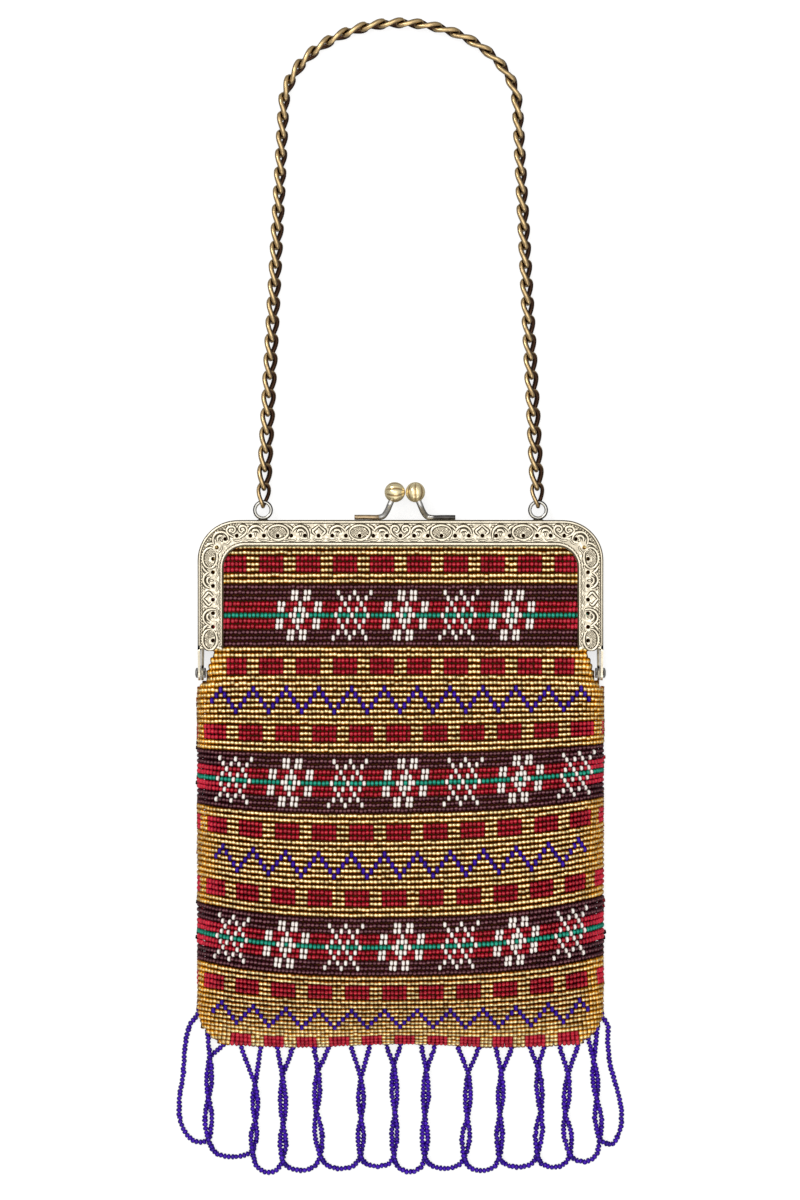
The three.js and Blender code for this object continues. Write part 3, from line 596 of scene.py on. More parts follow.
def walked(points):
    """Distance along a line of points, at each point."""
    steps = np.linalg.norm(np.diff(points, axis=0), axis=1)
    return np.concatenate([[0], np.cumsum(steps)])


def read_at(places, along, rows):
    """Rows of values at some distances, from the rows at known distances."""
    return np.stack([np.interp(places, along, column) for column in rows.T], axis=1)


def points_at(points, places):
    """Points at some distances along a line of points."""
    return read_at(places, walked(points), points)


def side_frames(points):
    """Two unit vectors across a line at each of its points, turning as little as possible along it."""
    tangents = unit(np.gradient(points, axis=0))
    first = np.cross(tangents[0], (0, 0, 1))
    if np.linalg.norm(first) < 1e-3:
        first = np.cross(tangents[0], (1, 0, 0))
    across = [unit(first)]
    for tangent in tangents[1:]:
        moved = across[-1] - tangent * np.dot(across[-1], tangent)
        across.append(unit(moved))
    across = np.array(across)
    return across, np.cross(tangents, across)


def rings_round(across, over, sides):
    """Unit vectors all round a line, from two unit vectors across it at each of its points."""
    turns = round_turns(sides)
    return np.cos(turns)[None, :, None] * across[:, None] + np.sin(turns)[None, :, None] * over[:, None]


def tube(points, radii, sides):
    """Vertices and faces of a closed round tube, with a radius for each point of its line."""
    across, over = side_frames(points)
    ring = rings_round(across, over, sides)
    vertices = (points[:, None] + radii[:, None, None] * ring).reshape(-1, 3)
    return vertices, capped_faces(len(points), sides)


# The pouch


def crown(y):
    """Height of the front along its middle."""
    above = mix(FRONT_FACE, POUCH_DEPTH, eased(-y / POUCH_FULL))
    down = np.clip((-y - POUCH_FULL) / (POUCH_DROP - POUCH_FULL), 0, 1)
    below = SEAM + (POUCH_DEPTH - SEAM) * (1 - down**POUCH_FALL) ** POUCH_SEAM_FALL
    return np.where(y > -POUCH_FULL, above, below)


def half_width(y):
    """Half the width of the cloth."""
    neck = mix(HINGE_HALF, NECK_HALF, np.clip(y / LEG_END, 0, 1))
    shoulder = mix(HINGE_HALF, POUCH_HALF, eased((-SHOULDER_START - y) / SHOULDER))
    past = np.clip(-y - (POUCH_DROP - POUCH_CORNER), 0, POUCH_CORNER)
    corner = POUCH_CORNER - np.sqrt(POUCH_CORNER**2 - past**2)
    return np.where(y > 0, neck, shoulder - corner)


def front_point(share, y):
    """A point of the front at a share of its half width."""
    squareness = mix(NECK_SQUARENESS, POUCH_SQUARENESS, eased(-y / POUCH_FULL))
    rounded = SEAM + (crown(y) - SEAM) * np.sqrt(1 - np.minimum(np.abs(share), 1) ** squareness)
    flatness = eased((y + FOLD_LOW) / (LEG_END + FOLD_LOW))
    return np.stack([share * half_width(y), y, mix(rounded, FRONT_FACE, flatness)], axis=-1)


def back_level(y):
    """Height that the back's rows lie at, along its middle."""
    return np.zeros_like(y)


def back_point(share, y):
    """A point of the back's underside at a share of its half width."""
    height = BACK_FACE * np.clip((y - EAR_RADIUS) / (LEG_END - EAR_RADIUS), 0, 1)
    return np.stack([share * half_width(y), y, height], axis=-1)


def turned_share(share):
    """How far the cloth has turned away at a share of its half width."""
    return eased((np.abs(share) - SIDE_FROM) / (1 - SIDE_FROM))


def side_stand(points, share):
    """How far sideways the cloth and its beads stand out at the sides of the pouch."""
    below_frame = eased(-points[..., 1] / SIDE_STAND_DROP)
    return np.sign(points[..., 0]) * SIDE_STAND * turned_share(share) * below_frame


def row_places(count, height, top):
    """Places of the rows down the middle, a little closer together towards the bottom."""
    y = mix(top, -POUCH_DROP, np.linspace(0, 1, ROW_SAMPLES) ** ROW_SAMPLE_POWER)
    line = np.stack([np.zeros_like(y), y, height(y)], axis=1)
    along = walked(line)
    share = (np.arange(count) + 0.5) / count
    return np.interp(along[-1] * share * (1 + ROW_CLOSING - ROW_CLOSING * share), along, y)


def row_rise(y, share, sag):
    """How far a row has risen above its middle at a share of the half width: the rows hang in the middle,
    droop at the shoulders and wave along the bottom seam."""
    down = np.clip(-y / POUCH_DROP, 0, 1)
    early = np.sin(np.pi / 2 * np.minimum(down / SAG_PEAK, 1)) ** SAG_GROWTH
    late = np.sqrt(1 - np.clip((down - SAG_PEAK) / (1 - SAG_PEAK), 0, 1) ** 2)
    hanging = sag * np.where(down < SAG_PEAK, early, late) * np.abs(share) ** SAG_BEND
    at_shoulder = np.exp(-(((y + SHOULDER_MIDDLE) / DROOP_SPREAD) ** 2))
    droop = SHOULDER_DROOP * at_shoulder * np.abs(share) ** DROOP_BEND
    at_seam = eased((down - SEAM_WAVE_FROM) / (1 - SEAM_WAVE_FROM))
    wave = np.cos(2 * np.pi * share * half_width(y) / SEAM_WAVE_LENGTH) * at_seam
    tilt = ROW_TILT * share * np.sin(np.pi * down)
    return hanging - droop + SEAM_WAVE * wave + tilt


BEAD_NAMES = ("gold", "red", "maroon", "green", "white", "violet")
GOLD, RED, MAROON, GREEN, WHITE, VIOLET = range(len(BEAD_NAMES))
# Width of the painted highlight, start of the painted shade at the edge, painted shade at the ends,
# difference between beads and how much of the metal lining shows
BEAD_LOOKS = {
    "gold": (0.34, 0.16, 0.15, 0.7, 0.6),
    "red": (0.28, 0.42, 0.8, 0.5, 0.0),
    "maroon": (0.3, 0.45, 0.8, 0.45, 0.0),
    "green": (0.4, 0.5, 0.7, 0.3, 0.0),
    "white": (0.5, 0.42, 0.95, 0.12, 0.0),
    "violet": (0.26, 0.45, 0.85, 0.4, 0.0),
}
# Places along a bead and how full it is there: most beads, the straight gold ones and those whose own shape
# shows
PLAIN_BEAD = ((-0.5, 0.66), (0.0, 1.0), (0.5, 0.66))
STRAIGHT_BEAD = ((-0.5, 0.87), (0.0, 1.0), (0.5, 0.87))
FINE_BEAD = ((-0.5, 0.28), (-0.36, 0.76), (0.0, 1.0), (0.36, 0.76), (0.5, 0.28))
BEAD_SHAPES = {"gold": STRAIGHT_BEAD, "white": FINE_BEAD, "green": FINE_BEAD, "violet": FINE_BEAD}
BEAD_SWELL = {"white": 1.14, "violet": 1.3}  # colours whose beads are larger than the rest
BEAD_WRAP = 100  # degrees that a bead's shell reaches round from its top, on each side
BEAD_FILL = 0.97  # share of the pitch that a bead fills
ROW_FILL = 1.02  # and of the distance between rows
ROW_LEAST, ROW_MOST = 1.2 * MM, 3 * MM  # limits of that distance
ROW_END = 0.1  # room left at each end of a row, in beads
ROW_STEPS = 401  # points across the surface, from which a row's beads are placed
# Small differences from bead to bead: its place along the row in beads, its size, its place and the turn of
# its painted highlight
STEP_JITTER = 0.03
SIZE_JITTER = 0.03
PLACE_JITTER = 0.05 * MM
LEAN_JITTER = 0.07
FRONT_SEED, BACK_SEED = 11, 12
FRONT_SIDES, BACK_SIDES = 6, 4  # flats round a bead
FRONT_SPLIT = -60 * MM  # the front's upper pieces end here and its lower ones start

# The beadwork's pattern: one unit of rows, repeated
UNIT_ROWS = 30
BLOCK_ROWS = (2, 20)  # first rows of the two bands of red blocks in a unit
BLOCK_HEIGHT = 3
BLOCK_GAP = 3  # gold columns between two blocks
# Middle column of a gold gap, columns from one gap to the next and columns to the last red one, in each band
BLOCKS = ((0, 9, 60), (0, 9, 42), (4, 9, 60), (4, 9, 60), (3, 9, 60), (3, 9, 60), (-3, 8, 43))
FLOWER_ROWS = (7, 17)
FLOWER_RED = 2  # red rows on each side of the green one, with maroon past them
FLOWER_MIDDLES = (2, 2, 1)  # column of a flower's middle, in each unit
FLOWER_PERIODS = (13, 14, 14)
FLOWER_REACH = (2, 3, 3)  # flowers on each side of the middle one, in each unit
FLOWER_SHIFT = -0.8  # of a bead
FLOWER_SLANT = 0.15
# White beads of the two flowers, by rows away from the green row
FLOWER = {
    4: (-2, -1, 1, 2),
    3: (-2, -1, 1, 2),
    2: (-5, -4, 0, 4, 5),
    1: (-5, -4, -1, 0, 1, 4, 5),
    0: (-2, -1, 1, 2),
}
STAR = {4: (-4, 0, 4), 3: (-3, -1, 1, 3), 2: (-2, 2), 1: (-3, -1, 1, 3), 0: (-4, 0, 4)}
ZIGZAG_ROW = 25
ZIGZAG_HALF = 4
ZIGZAG_SLANT = 0.06
ZIGZAG_REACH = 46  # columns on each side of the middle


def bead_colours(row, columns):
    """Colour numbers of the beads at some columns of a row."""
    unit_number, row = divmod(row, UNIT_ROWS)
    bands = unit_number % len(FLOWER_MIDDLES)
    found = np.full(len(columns), GOLD)
    for band, first in enumerate(BLOCK_ROWS, len(BLOCK_ROWS) * unit_number):
        if first <= row < first + BLOCK_HEIGHT:
            middle, period, reach = BLOCKS[band % len(BLOCKS)]
            from_gap = (columns - middle + BLOCK_GAP // 2) % period
            found[(from_gap >= BLOCK_GAP) & (np.abs(columns) <= reach)] = RED
    if FLOWER_ROWS[0] <= row <= FLOWER_ROWS[1]:
        away = abs(row - sum(FLOWER_ROWS) // 2)
        found[:] = GREEN if away == 0 else RED if away <= FLOWER_RED else MAROON
        from_middle = columns - FLOWER_MIDDLES[bands]
        number = np.round(from_middle / FLOWER_PERIODS[bands]).astype(int)
        within = from_middle - number * FLOWER_PERIODS[bands]
        flowers = np.isin(within, FLOWER.get(away, ())) & (number % 2 == 0)
        stars = np.isin(within, STAR.get(away, ())) & (number % 2 == 1)
        found[(flowers | stars) & (np.abs(number) <= FLOWER_REACH[bands])] = WHITE
    if row >= ZIGZAG_ROW:
        stroke = np.abs(columns % (2 * ZIGZAG_HALF) - ZIGZAG_HALF) == row - ZIGZAG_ROW
        found[stroke & (np.abs(columns) <= ZIGZAG_REACH)] = VIOLET
    return found


def row_slant(row):
    """How many beads a row is shifted along, so that flowers and zigzags lean as woven ones do."""
    row = row % UNIT_ROWS
    if FLOWER_ROWS[0] <= row <= FLOWER_ROWS[1]:
        return FLOWER_SHIFT - FLOWER_SLANT * (row - sum(FLOWER_ROWS) / 2)
    if row >= ZIGZAG_ROW:
        return -ZIGZAG_SLANT * (row - ZIGZAG_ROW - ZIGZAG_HALF / 2)
    return 0.0


def bead_template(sides, profile):
    """Points and faces of the outer half of a bead lying along a row, one unit long and high, and where its
    points lie: across the row, with 1 and -1 at its sides, and along the bead, from 0 in the middle to 1 at
    an end."""
    turns = np.radians(np.linspace(-BEAD_WRAP, BEAD_WRAP, sides + 1))
    along, turn = np.meshgrid([place for place, _ in profile], turns, indexing="ij")
    fatness = np.array([radius for _, radius in profile])[:, None] * np.ones_like(turn)
    points = np.stack([along, 0.5 * fatness * np.sin(turn), fatness * np.cos(turn)], axis=-1).reshape(-1, 3)
    faces = capped_faces(len(profile), sides + 1, closed=False)
    return points, faces, (turn / (np.pi / 2)).ravel(), np.abs(2 * along).ravel()


def strew_beads(surface, height, facing, sizes, seed):
    """Every bead on a surface, as arrays with one row for each bead: its place, its axes along, down and out
    of the cloth, its colour, its share of the half width, how much painted light it takes where the cloth
    turns away at the sides and at the bottom seam, its tone and the lean of its painted highlight.
    """
    chance = np.random.default_rng(seed)
    middles = row_places(sizes.row_count, height, ROWS_TOP)
    shares = np.sin(np.pi / 2 * np.linspace(-1, 1, ROW_STEPS))
    y, share = np.meshgrid(middles, shares, indexing="ij")
    points = surface(share, y + row_rise(y, share, sizes.row_sag))
    grids = {"place": points, "down": np.gradient(points, axis=0), "along": np.gradient(points, axis=1)}
    beads = {"place": [], "down": [], "along": [], "colour": [], "side": []}
    for row in range(sizes.row_count):
        distance = walked(points[row])
        distance -= np.interp(0, shares, distance)
        slant = row_slant(row)
        low = math.ceil(distance[0] / sizes.bead_pitch + ROW_END - slant)
        high = math.floor(distance[-1] / sizes.bead_pitch - ROW_END - slant)
        columns = np.arange(low, high + 1)
        wanted = (columns + slant + chance.normal(0, STEP_JITTER, len(columns))) * sizes.bead_pitch
        for key, grid in grids.items():
            beads[key].append(read_at(wanted, distance, grid[row]))
        beads["colour"].append(bead_colours(row, columns))
        beads["side"].append(np.interp(wanted, distance, np.abs(shares)))
    beads = {key: np.concatenate(rows) for key, rows in beads.items()}
    along_axis = facing * unit(beads["along"])
    row_height = np.linalg.norm(beads["down"], axis=1, keepdims=True)
    out_axis = unit(np.cross(beads["down"], along_axis))
    at_seam = eased((-beads["place"][:, 1] / POUCH_DROP - SEAM_FROM) / SEAM_TURN)
    out_axis = unit(out_axis + SEAM_LIFT * at_seam[:, None] * (0, 0, facing))
    down_axis = np.cross(along_axis, out_axis)
    count = len(row_height)
    wobble = 1 + chance.normal(0, SIZE_JITTER, (count, 1))
    beads["along"] = along_axis * sizes.bead_pitch * BEAD_FILL
    beads["down"] = down_axis * np.clip(row_height, ROW_LEAST, ROW_MOST) * ROW_FILL * wobble
    beads["out"] = out_axis * sizes.bead_depth * wobble
    beads["place"][:, 0] += side_stand(beads["place"], beads["side"])
    stray = chance.normal(0, PLACE_JITTER, (count, 3))
    beads["place"] = beads["place"] - out_axis * sizes.bead_depth + stray
    # Painted light: beads at the sides and at the bottom seam take the brighter side colour
    beads["turned"] = np.maximum(turned_share(beads["side"]), SEAM_LIGHT_SHARE * at_seam)
    beads["tone"] = chance.random(count)
    beads["lean"] = chance.normal(0, LEAN_JITTER, count)
    return beads


def bead_piece(name, beads, number, within, sides, material):
    """One mesh piece of the beads of one colour."""
    glass = BEAD_NAMES[number]
    chosen = (beads["colour"] == number) & within
    points, faces, across, end = bead_template(sides, BEAD_SHAPES.get(glass, PLAIN_BEAD))
    axes = np.stack([beads[key][chosen] for key in ("along", "down", "out")], axis=1)
    swell = BEAD_SWELL.get(glass, 1)
    swollen = points * (1, swell, swell)
    vertices = (beads["place"][chosen][:, None] + swollen[None] @ axes).reshape(-1, 3)
    count = int(np.count_nonzero(chosen))
    every = [[bead * len(points) + i for i in face] for bead in range(count) for face in faces]
    values = {
        # The lean shifts each bead's painted highlight across it
        "across": np.abs(across[None] + beads["lean"][chosen][:, None]).ravel(),
        "end": np.tile(end, count),
        "tone": np.repeat(beads["tone"][chosen], len(points)),
        "side": np.repeat(beads["turned"][chosen], len(points)),
    }
    return add_piece(name, vertices, every, material, values)


def bead_materials(colours):
    """Glass for each colour of bead, by name."""
    existing = bpy.data.materials.get("gold_beads")
    if existing:
        return {name: bpy.data.materials[name + "_beads"] for name in BEAD_NAMES}
    made = {}
    for name, look in BEAD_LOOKS.items():
        heart, body, edge = (getattr(colours, f"{name}_{part}") for part in ("heart", "body", "edge"))
        side = getattr(colours, f"{name}_turned", body)
        made[name] = bead_material(name + "_beads", heart, body, edge, side, *look)
    return made


def bend_with_frame(piece):
    """Bakes the piece's place into its mesh."""
    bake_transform(piece)


# Stage
# Name of each lamp, its place, the size of its square and its power
LAMPS = (
    ("overhead_lamp", (0, 0.05, 2.6), 2.2, 19.0),
    ("upper_left_lamp", (-0.9, 1.0, 1.3), 0.7, 8.5),
    ("lower_lamp", (0.3, -1.3, 0.8), 0.9, 3.5),
)
LAMP_AIM = (0, 0.03, 0)
FLOOR_SIZE = 6
FLOOR_LEVEL = -0.45 * MM  # about as low as the lowest beads
FLOOR_ROUGHNESS = 0.9
FLOOR_GLOW = 0.75  # seen by the camera only
SKY_FADE = (0.1, 0.95)  # heights between which the sky grows brighter
SKY_LEVEL = 0.3
SKY_RISE = 0.5


class BAG_OT_stage(bpy.types.Operator):
    """Floor, soft light and the camera above the bag"""

    bl_idname = "bag.stage"
    bl_label = "Stage"

    def execute(self, context):
        scene = context.scene
        scene.view_settings.view_transform = "Standard"
        self.add_camera(scene)
        self.add_floor(scene)
        for lamp in LAMPS:
            self.add_lamp(scene, *lamp)
        self.add_world(scene)
        return {"FINISHED"}

    def add_camera(self, scene):
        """The camera, straight above the middle of its field."""
        camera = bpy.data.cameras.new("camera")
        camera.lens = LENS
        camera.sensor_width = SENSOR
        placed = bpy.data.objects.new("camera", camera)
        across, up, level = FIELD_MIDDLE
        placed.location = (across, up, level + FIELD_HEIGHT * LENS / SENSOR)
        scene.collection.objects.link(placed)
        scene.camera = placed

    def add_floor(self, scene):
        """A pale surface, with a glow that only the camera sees."""
        bpy.ops.mesh.primitive_plane_add(size=FLOOR_SIZE, location=(0, 0, FLOOR_LEVEL))
        floor = bpy.context.object
        floor.name = "floor"
        material, tree, shader = new_material("floor")
        base = solid_colour(scene.bag_colours.floor)
        white = (1, 1, 1, 1)
        set_inputs(shader, {"Base Color": base, "Roughness": FLOOR_ROUGHNESS, "Emission Color": white})
        rays = tree.nodes.new("ShaderNodeLightPath")
        glow = times(tree, rays.outputs["Is Camera Ray"], FLOOR_GLOW)
        tree.links.new(glow, shader.inputs["Emission Strength"])
        floor.data.materials.append(material)

    def add_lamp(self, scene, name, place, size, power):
        """A square lamp that faces the bag."""
        lamp = bpy.data.lights.new(name, "AREA")
        lamp.size = size
        lamp.energy = power
        placed = bpy.data.objects.new(name, lamp)
        placed.location = place
        placed.rotation_euler = (Vector(LAMP_AIM) - Vector(place)).to_track_quat("-Z", "Y").to_euler()
        scene.collection.objects.link(placed)

    def add_world(self, scene):
        """A sky that is brighter overhead, and white to the camera."""
        world = bpy.data.worlds.new("studio")
        world.use_nodes = True
        tree = world.node_tree
        sky = tree.nodes["Background"]
        sky.inputs["Color"].default_value = (1, 1, 1, 1)
        rays = tree.nodes.new("ShaderNodeLightPath")
        coordinates = tree.nodes.new("ShaderNodeTexCoord")
        parts = tree.nodes.new("ShaderNodeSeparateXYZ")
        tree.links.new(coordinates.outputs["Generated"], parts.inputs["Vector"])
        overhead = times(tree, ramp_between(tree, parts.outputs["Z"], *SKY_FADE), SKY_RISE)
        level = reckoned(tree, "ADD", overhead, SKY_LEVEL)
        seen = reckoned(tree, "MAXIMUM", rays.outputs["Is Camera Ray"], level)
        tree.links.new(seen, sky.inputs["Strength"])
        scene.world = world


class BAG_OT_beads(bpy.types.Operator):
    """Every bead of the front and the back, by colour, in rows that follow the stuffed pouch"""

    bl_idname = "bag.beads"
    bl_label = "Beads"

    def execute(self, context):
        sizes = context.scene.bag_sizes
        glass = bead_materials(context.scene.bag_colours)
        front = strew_beads(front_point, crown, 1, sizes, FRONT_SEED)
        below = front["place"][:, 1] < FRONT_SPLIT
        for number, name in enumerate(BEAD_NAMES):
            for part, within in (("upper", ~below), ("lower", below)):
                title = f"front_beads_{name}_{part}"
                bend_with_frame(bead_piece(title, front, number, within, FRONT_SIDES, glass[name]))
        back = strew_beads(back_point, back_level, -1, sizes, BACK_SEED)
        everywhere = np.full(len(back["tone"]), True)
        for number, name in enumerate(BEAD_NAMES):
            piece = bead_piece(f"back_beads_{name}", back, number, everywhere, BACK_SIDES, glass[name])
            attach(piece, "bag")
        return {"FINISHED"}


# Cloth
CLOTH_ROWS, CLOTH_COLUMNS = 110, 41  # points down and across
CLOTH_REACH = 0.995  # share of the half width
TUCK = 6.5 * MM  # how far the cloth runs under the frame's plates
TUCK_RISE = 2 * MM  # height above the ends of the legs in which it gets there
CLOTH_INSET = 3 * MM  # from the frame's outer edge to the cloth, at the corners
NET_DEPTH = 1.0 * MM  # under the beads' surface
FRONT_LINING_DEPTH = 3.2 * MM
BACK_LINING_DEPTH = 2.8 * MM


def cloth_sheet(name, surface, depth, outward, height, material):
    """A sheet of cloth a given depth under a surface, tucked under the frame's plates."""
    y = row_places(CLOTH_ROWS, height, FRAME_TOP - FRAME_BAND + TUCK)
    shares = np.sin(np.pi / 2 * np.linspace(-1, 1, CLOTH_COLUMNS)) * CLOTH_REACH
    y, share = np.meshgrid(y, shares, indexing="ij")
    points = surface(share, y)
    tucked = half_width(y) + TUCK * np.clip((y - LEG_END) / TUCK_RISE, 0, 1)
    round_reach = FRAME_CORNER - CLOTH_INSET
    over = np.clip(y - FRAME_TOP + FRAME_CORNER, 0, round_reach)
    corner = HALF_WIDTH - FRAME_CORNER + np.sqrt(round_reach**2 - over**2)
    points[..., 0] = share * np.minimum(tucked, corner)
    points[..., 0] += side_stand(points, share)
    normals = unit(np.cross(np.gradient(points, axis=0), np.gradient(points, axis=1)))
    vertices = (points - outward * depth * normals).reshape(-1, 3)
    return add_piece(name, vertices, grid_faces(*y.shape), material)


class BAG_OT_cloth(bpy.types.Operator):
    """The net behind the beads and the satin lining, front and back"""

    bl_idname = "bag.cloth"
    bl_label = "Cloth and lining"

    def execute(self, context):
        colours = context.scene.bag_colours
        net = cloth_material("bead_net", colours)
        satin = cloth_material("satin_lining", colours)
        front = cloth_sheet("front_cloth", front_point, NET_DEPTH, 1, crown, net)
        bend_with_frame(front)
        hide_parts("front_panel_lower", "front_panel_fold", "front_panel_upper")
        lining = cloth_sheet("front_lining", front_point, FRONT_LINING_DEPTH, 1, crown, satin)
        bend_with_frame(lining)
        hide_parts("lining_front_lower", "lining_front_upper")
        back = cloth_sheet("back_cloth", back_point, NET_DEPTH, -1, back_level, net)
        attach(back, "bag")
        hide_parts("back_panel")
        lining = cloth_sheet("back_lining", back_point, BACK_LINING_DEPTH, -1, back_level, satin)
        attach(lining, "bag")
        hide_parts("lining_back")
        return {"FINISHED"}


# Fringe: the same routes as the solids', in millimetres across the bag, down from the bottom seam and up from
# the surface that the bag lies on

# Where the strands of each twisted pair leave the seam, where they cross, and how far they open lower down
PAIR_PARTS = ("left", "right", "upper", "middle", "lower", "open")
PAIR_VALUES = (
    (-76.7, -71, (-76.5, 4.5), (-77.1, 20.8), (-77.1, 37.3), 1.4),
    (-63.8, -56.2, (-58.4, 15.1), (-58.3, 30.1), (-59.4, 41.8), 1.1),
    (-49.4, -43.4, (-47.3, 12.1), (-47.1, 31.3), (-47.3, 45.6), 1.1),
    (-34.6, -29, (-33.1, 10.1), (-33.8, 26.2), (-32.2, 43.6), 1.5),
    (-19.6, -12.6, (-15.9, 12.7), (-15.8, 28.9), (-16, 43.9), 1.15),
    (-5.3, -0.3, (-2.7, 7.9), (-2.2, 26.8), (-2.6, 43.9), 1.05),
    (8.6, 13.6, (10.4, 10), (9.8, 28.6), (9.8, 44.5), 1.1),
    (23.3, 31.4, (27.3, 10.9), (26.8, 29.2), (25.7, 44.8), 1.5),
    (38.4, 44.6, (40.5, 11.1), (39.9, 27.7), (39.7, 44.4), 1.1),
    (52.1, 57.5, (55.3, 8.8), (56.3, 25.9), (54.9, 43.6), 1.3),
    (64.2, 71, (67.3, 11.5), (66.2, 27.7), (68, 43.4), 1.5),
    (75, 78.3, (77.7, 6), (78.8, 21.3), (80.1, 37.5), 1.25),
)
PAIRS = [dict(zip(PAIR_PARTS, values)) for values in PAIR_VALUES]
LOOP_BOTTOMS = (44.5, 50.8, 49.9, 49.3, 48.4, 50.7, 49.2, 50.1, 48.6, 48.7, 46.4)
LEFT_START = -80.7
LEFT_STRAND = ((-84.6, -8.5), (-86.6, 1), (-87.3, 12), (-88.8, 21), (-88.4, 30), (-85, 36.4), (-81, 38.6))
RIGHT_START = 80.4
RIGHT_STRAND = (
    (83.2, -8.5), (83.3, -1), (84.2, 7), (86.2, 14.5), (88.2, 22), (88.8, 28.5), (88, 34.5), (85.2, 39.2),
)
LENS_HALF = 1.05  # how far apart a pair's strands open, higher up
STRAND_LYING = 1.15  # height of a strand's middle where it lies
TWIST_RISE = 1.2  # how far a pair is lifted, and its strands swing above and below that
TWIST_POINTS = 9
LOOP_SHARES = (0.25, 0.5, 0.75)  # points along a loop's round bottom
SEAM_RISE = 1.2  # where a strand leaves the seam: its height and its distance from the pouch
SEAM_GAP = 0.8

STRAND_TUCK = 2.4 * MM  # how far a strand runs in under the pouch's edge
STRAND_STEP = 0.5 * MM
STRAND_SIDES = 7
STRAND_BEAD = ((-0.5, 0.42), (-0.36, 0.8), (-0.13, 1.0), (0.13, 1.0), (0.36, 0.8))
STRAND_JITTER = 0.05  # differences in its beads' thickness
STRAND_WANDER = 0.07 * MM  # and in their places
STRAND_SEED = 100


def seam_place(x):
    """Where a strand leaves the bottom seam or its rounded corner, in millimetres."""
    corner = POUCH_CORNER / MM
    middle = POUCH_HALF / MM - corner
    past = abs(x) - middle
    if past <= 0:
        return (x, SEAM_GAP, SEAM_RISE)
    angle = math.acos(min(past / corner, 1))
    reach = corner + SEAM_GAP
    return (math.copysign(middle + reach * math.cos(angle), x), reach * math.sin(angle) - corner, SEAM_RISE)


def strand_down(pair, hand):
    """One strand of a twisted pair, from its upper crossing to its lower one."""
    points = []
    for t in np.linspace(0, 1, TWIST_POINTS):
        start, stop = (pair["upper"], pair["middle"]) if t < 0.5 else (pair["middle"], pair["lower"])
        part = 2 * t if t < 0.5 else 2 * t - 1
        half = LENS_HALF if t < 0.5 else pair["open"]
        turn = 2 * math.pi * t
        across = mix(start[0], stop[0], part) + hand * half * math.sin(turn)
        height = STRAND_LYING + TWIST_RISE + hand * TWIST_RISE * math.cos(turn)
        points.append((across, mix(start[1], stop[1], part), height))
    return points


def loop_bottom(start, stop, bottom):
    """The round bottom of a loop between two neighbouring pairs."""
    points = []
    for share in LOOP_SHARES:
        across = (1 - math.cos(math.pi * share)) / 2
        level = mix(start["lower"][1], stop["lower"][1], across)
        x = mix(start["lower"][0], stop["lower"][0], across)
        points.append((x, mix(level, bottom, math.sin(math.pi * share)), STRAND_LYING))
    return points


def lying(points):
    """Points of a strand where it lies on the surface."""
    return [(x, down, STRAND_LYING) for x, down in points]


def fringe_routes():
    """Points of each strand of the fringe, in metres."""
    first, last = PAIRS[0], PAIRS[-1]
    left_end = [*strand_down(first, -1)[::-1], seam_place(first["right"])]
    routes = [[seam_place(LEFT_START), *lying(LEFT_STRAND), *left_end]]
    for start, stop, bottom in zip(PAIRS, PAIRS[1:], LOOP_BOTTOMS):
        down = [seam_place(start["left"]), *strand_down(start, 1)]
        up = [*strand_down(stop, -1)[::-1], seam_place(stop["right"])]
        routes.append([*down, *loop_bottom(start, stop, bottom), *up])
    right_start = [seam_place(last["left"]), *strand_down(last, 1)]
    routes.append([*right_start, *lying(RIGHT_STRAND)[::-1], seam_place(RIGHT_START)])
    return [np.array([(x * MM, -POUCH_DROP - down * MM, z * MM) for x, down, z in route]) for route in routes]


def tucked_ends(route):
    """A strand's points with both ends run on, in under the pouch's edge."""
    inward = np.array((0, 1, 0))
    before = route[0] + STRAND_TUCK * unit(mix(unit(route[0] - route[1]), inward, 0.5))
    after = route[-1] + STRAND_TUCK * unit(mix(unit(route[-1] - route[-2]), inward, 0.5))
    return np.array([before, *route, after])


class BAG_OT_fringe(bpy.types.Operator):
    """Looped strands of violet beads, twisted together in pairs"""

    bl_idname = "bag.fringe"
    bl_label = "Fringe"

    def execute(self, context):
        sizes = context.scene.bag_sizes
        glass = bead_materials(context.scene.bag_colours)["violet"]
        along, fullness = np.array(STRAND_BEAD).T
        for number, route in enumerate(fringe_routes(), 1):
            line = curve_through(tucked_ends(route), STRAND_STEP)
            total = walked(line)[-1]
            count = round(total / sizes.strand_pitch)
            places = np.concatenate([bead + along + 0.5 for bead in range(count)])
            chance = np.random.default_rng(STRAND_SEED + number)
            fatness = np.repeat(1 + chance.normal(0, STRAND_JITTER, count), len(along))
            radii = np.tile(fullness, count) * fatness * sizes.strand_diameter / 2
            wander = np.repeat(chance.normal(0, STRAND_WANDER, (count, 3)), len(along), axis=0)
            points = points_at(line, places * total / count) + wander
            vertices, faces = tube(points, radii, STRAND_SIDES)
            tone = np.repeat(chance.random(count), len(along) * STRAND_SIDES)
            end = np.repeat(np.tile(np.abs(2 * along), count), STRAND_SIDES)
            # Painted highlight along the top of each strand's beads and painted shade at their sides
            from_top = 1 - unit(vertices - np.repeat(points, STRAND_SIDES, axis=0))[:, 2]
            values = {"across": np.clip(from_top, 0, 1), "end": end, "tone": tone, "side": 0 * end}
            strand = add_piece(f"fringe_strand_{number:02d}", vertices, faces, glass, values)
            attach(strand, "bag")
            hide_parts(f"fringe_loop_{number:02d}")
        return {"FINISHED"}


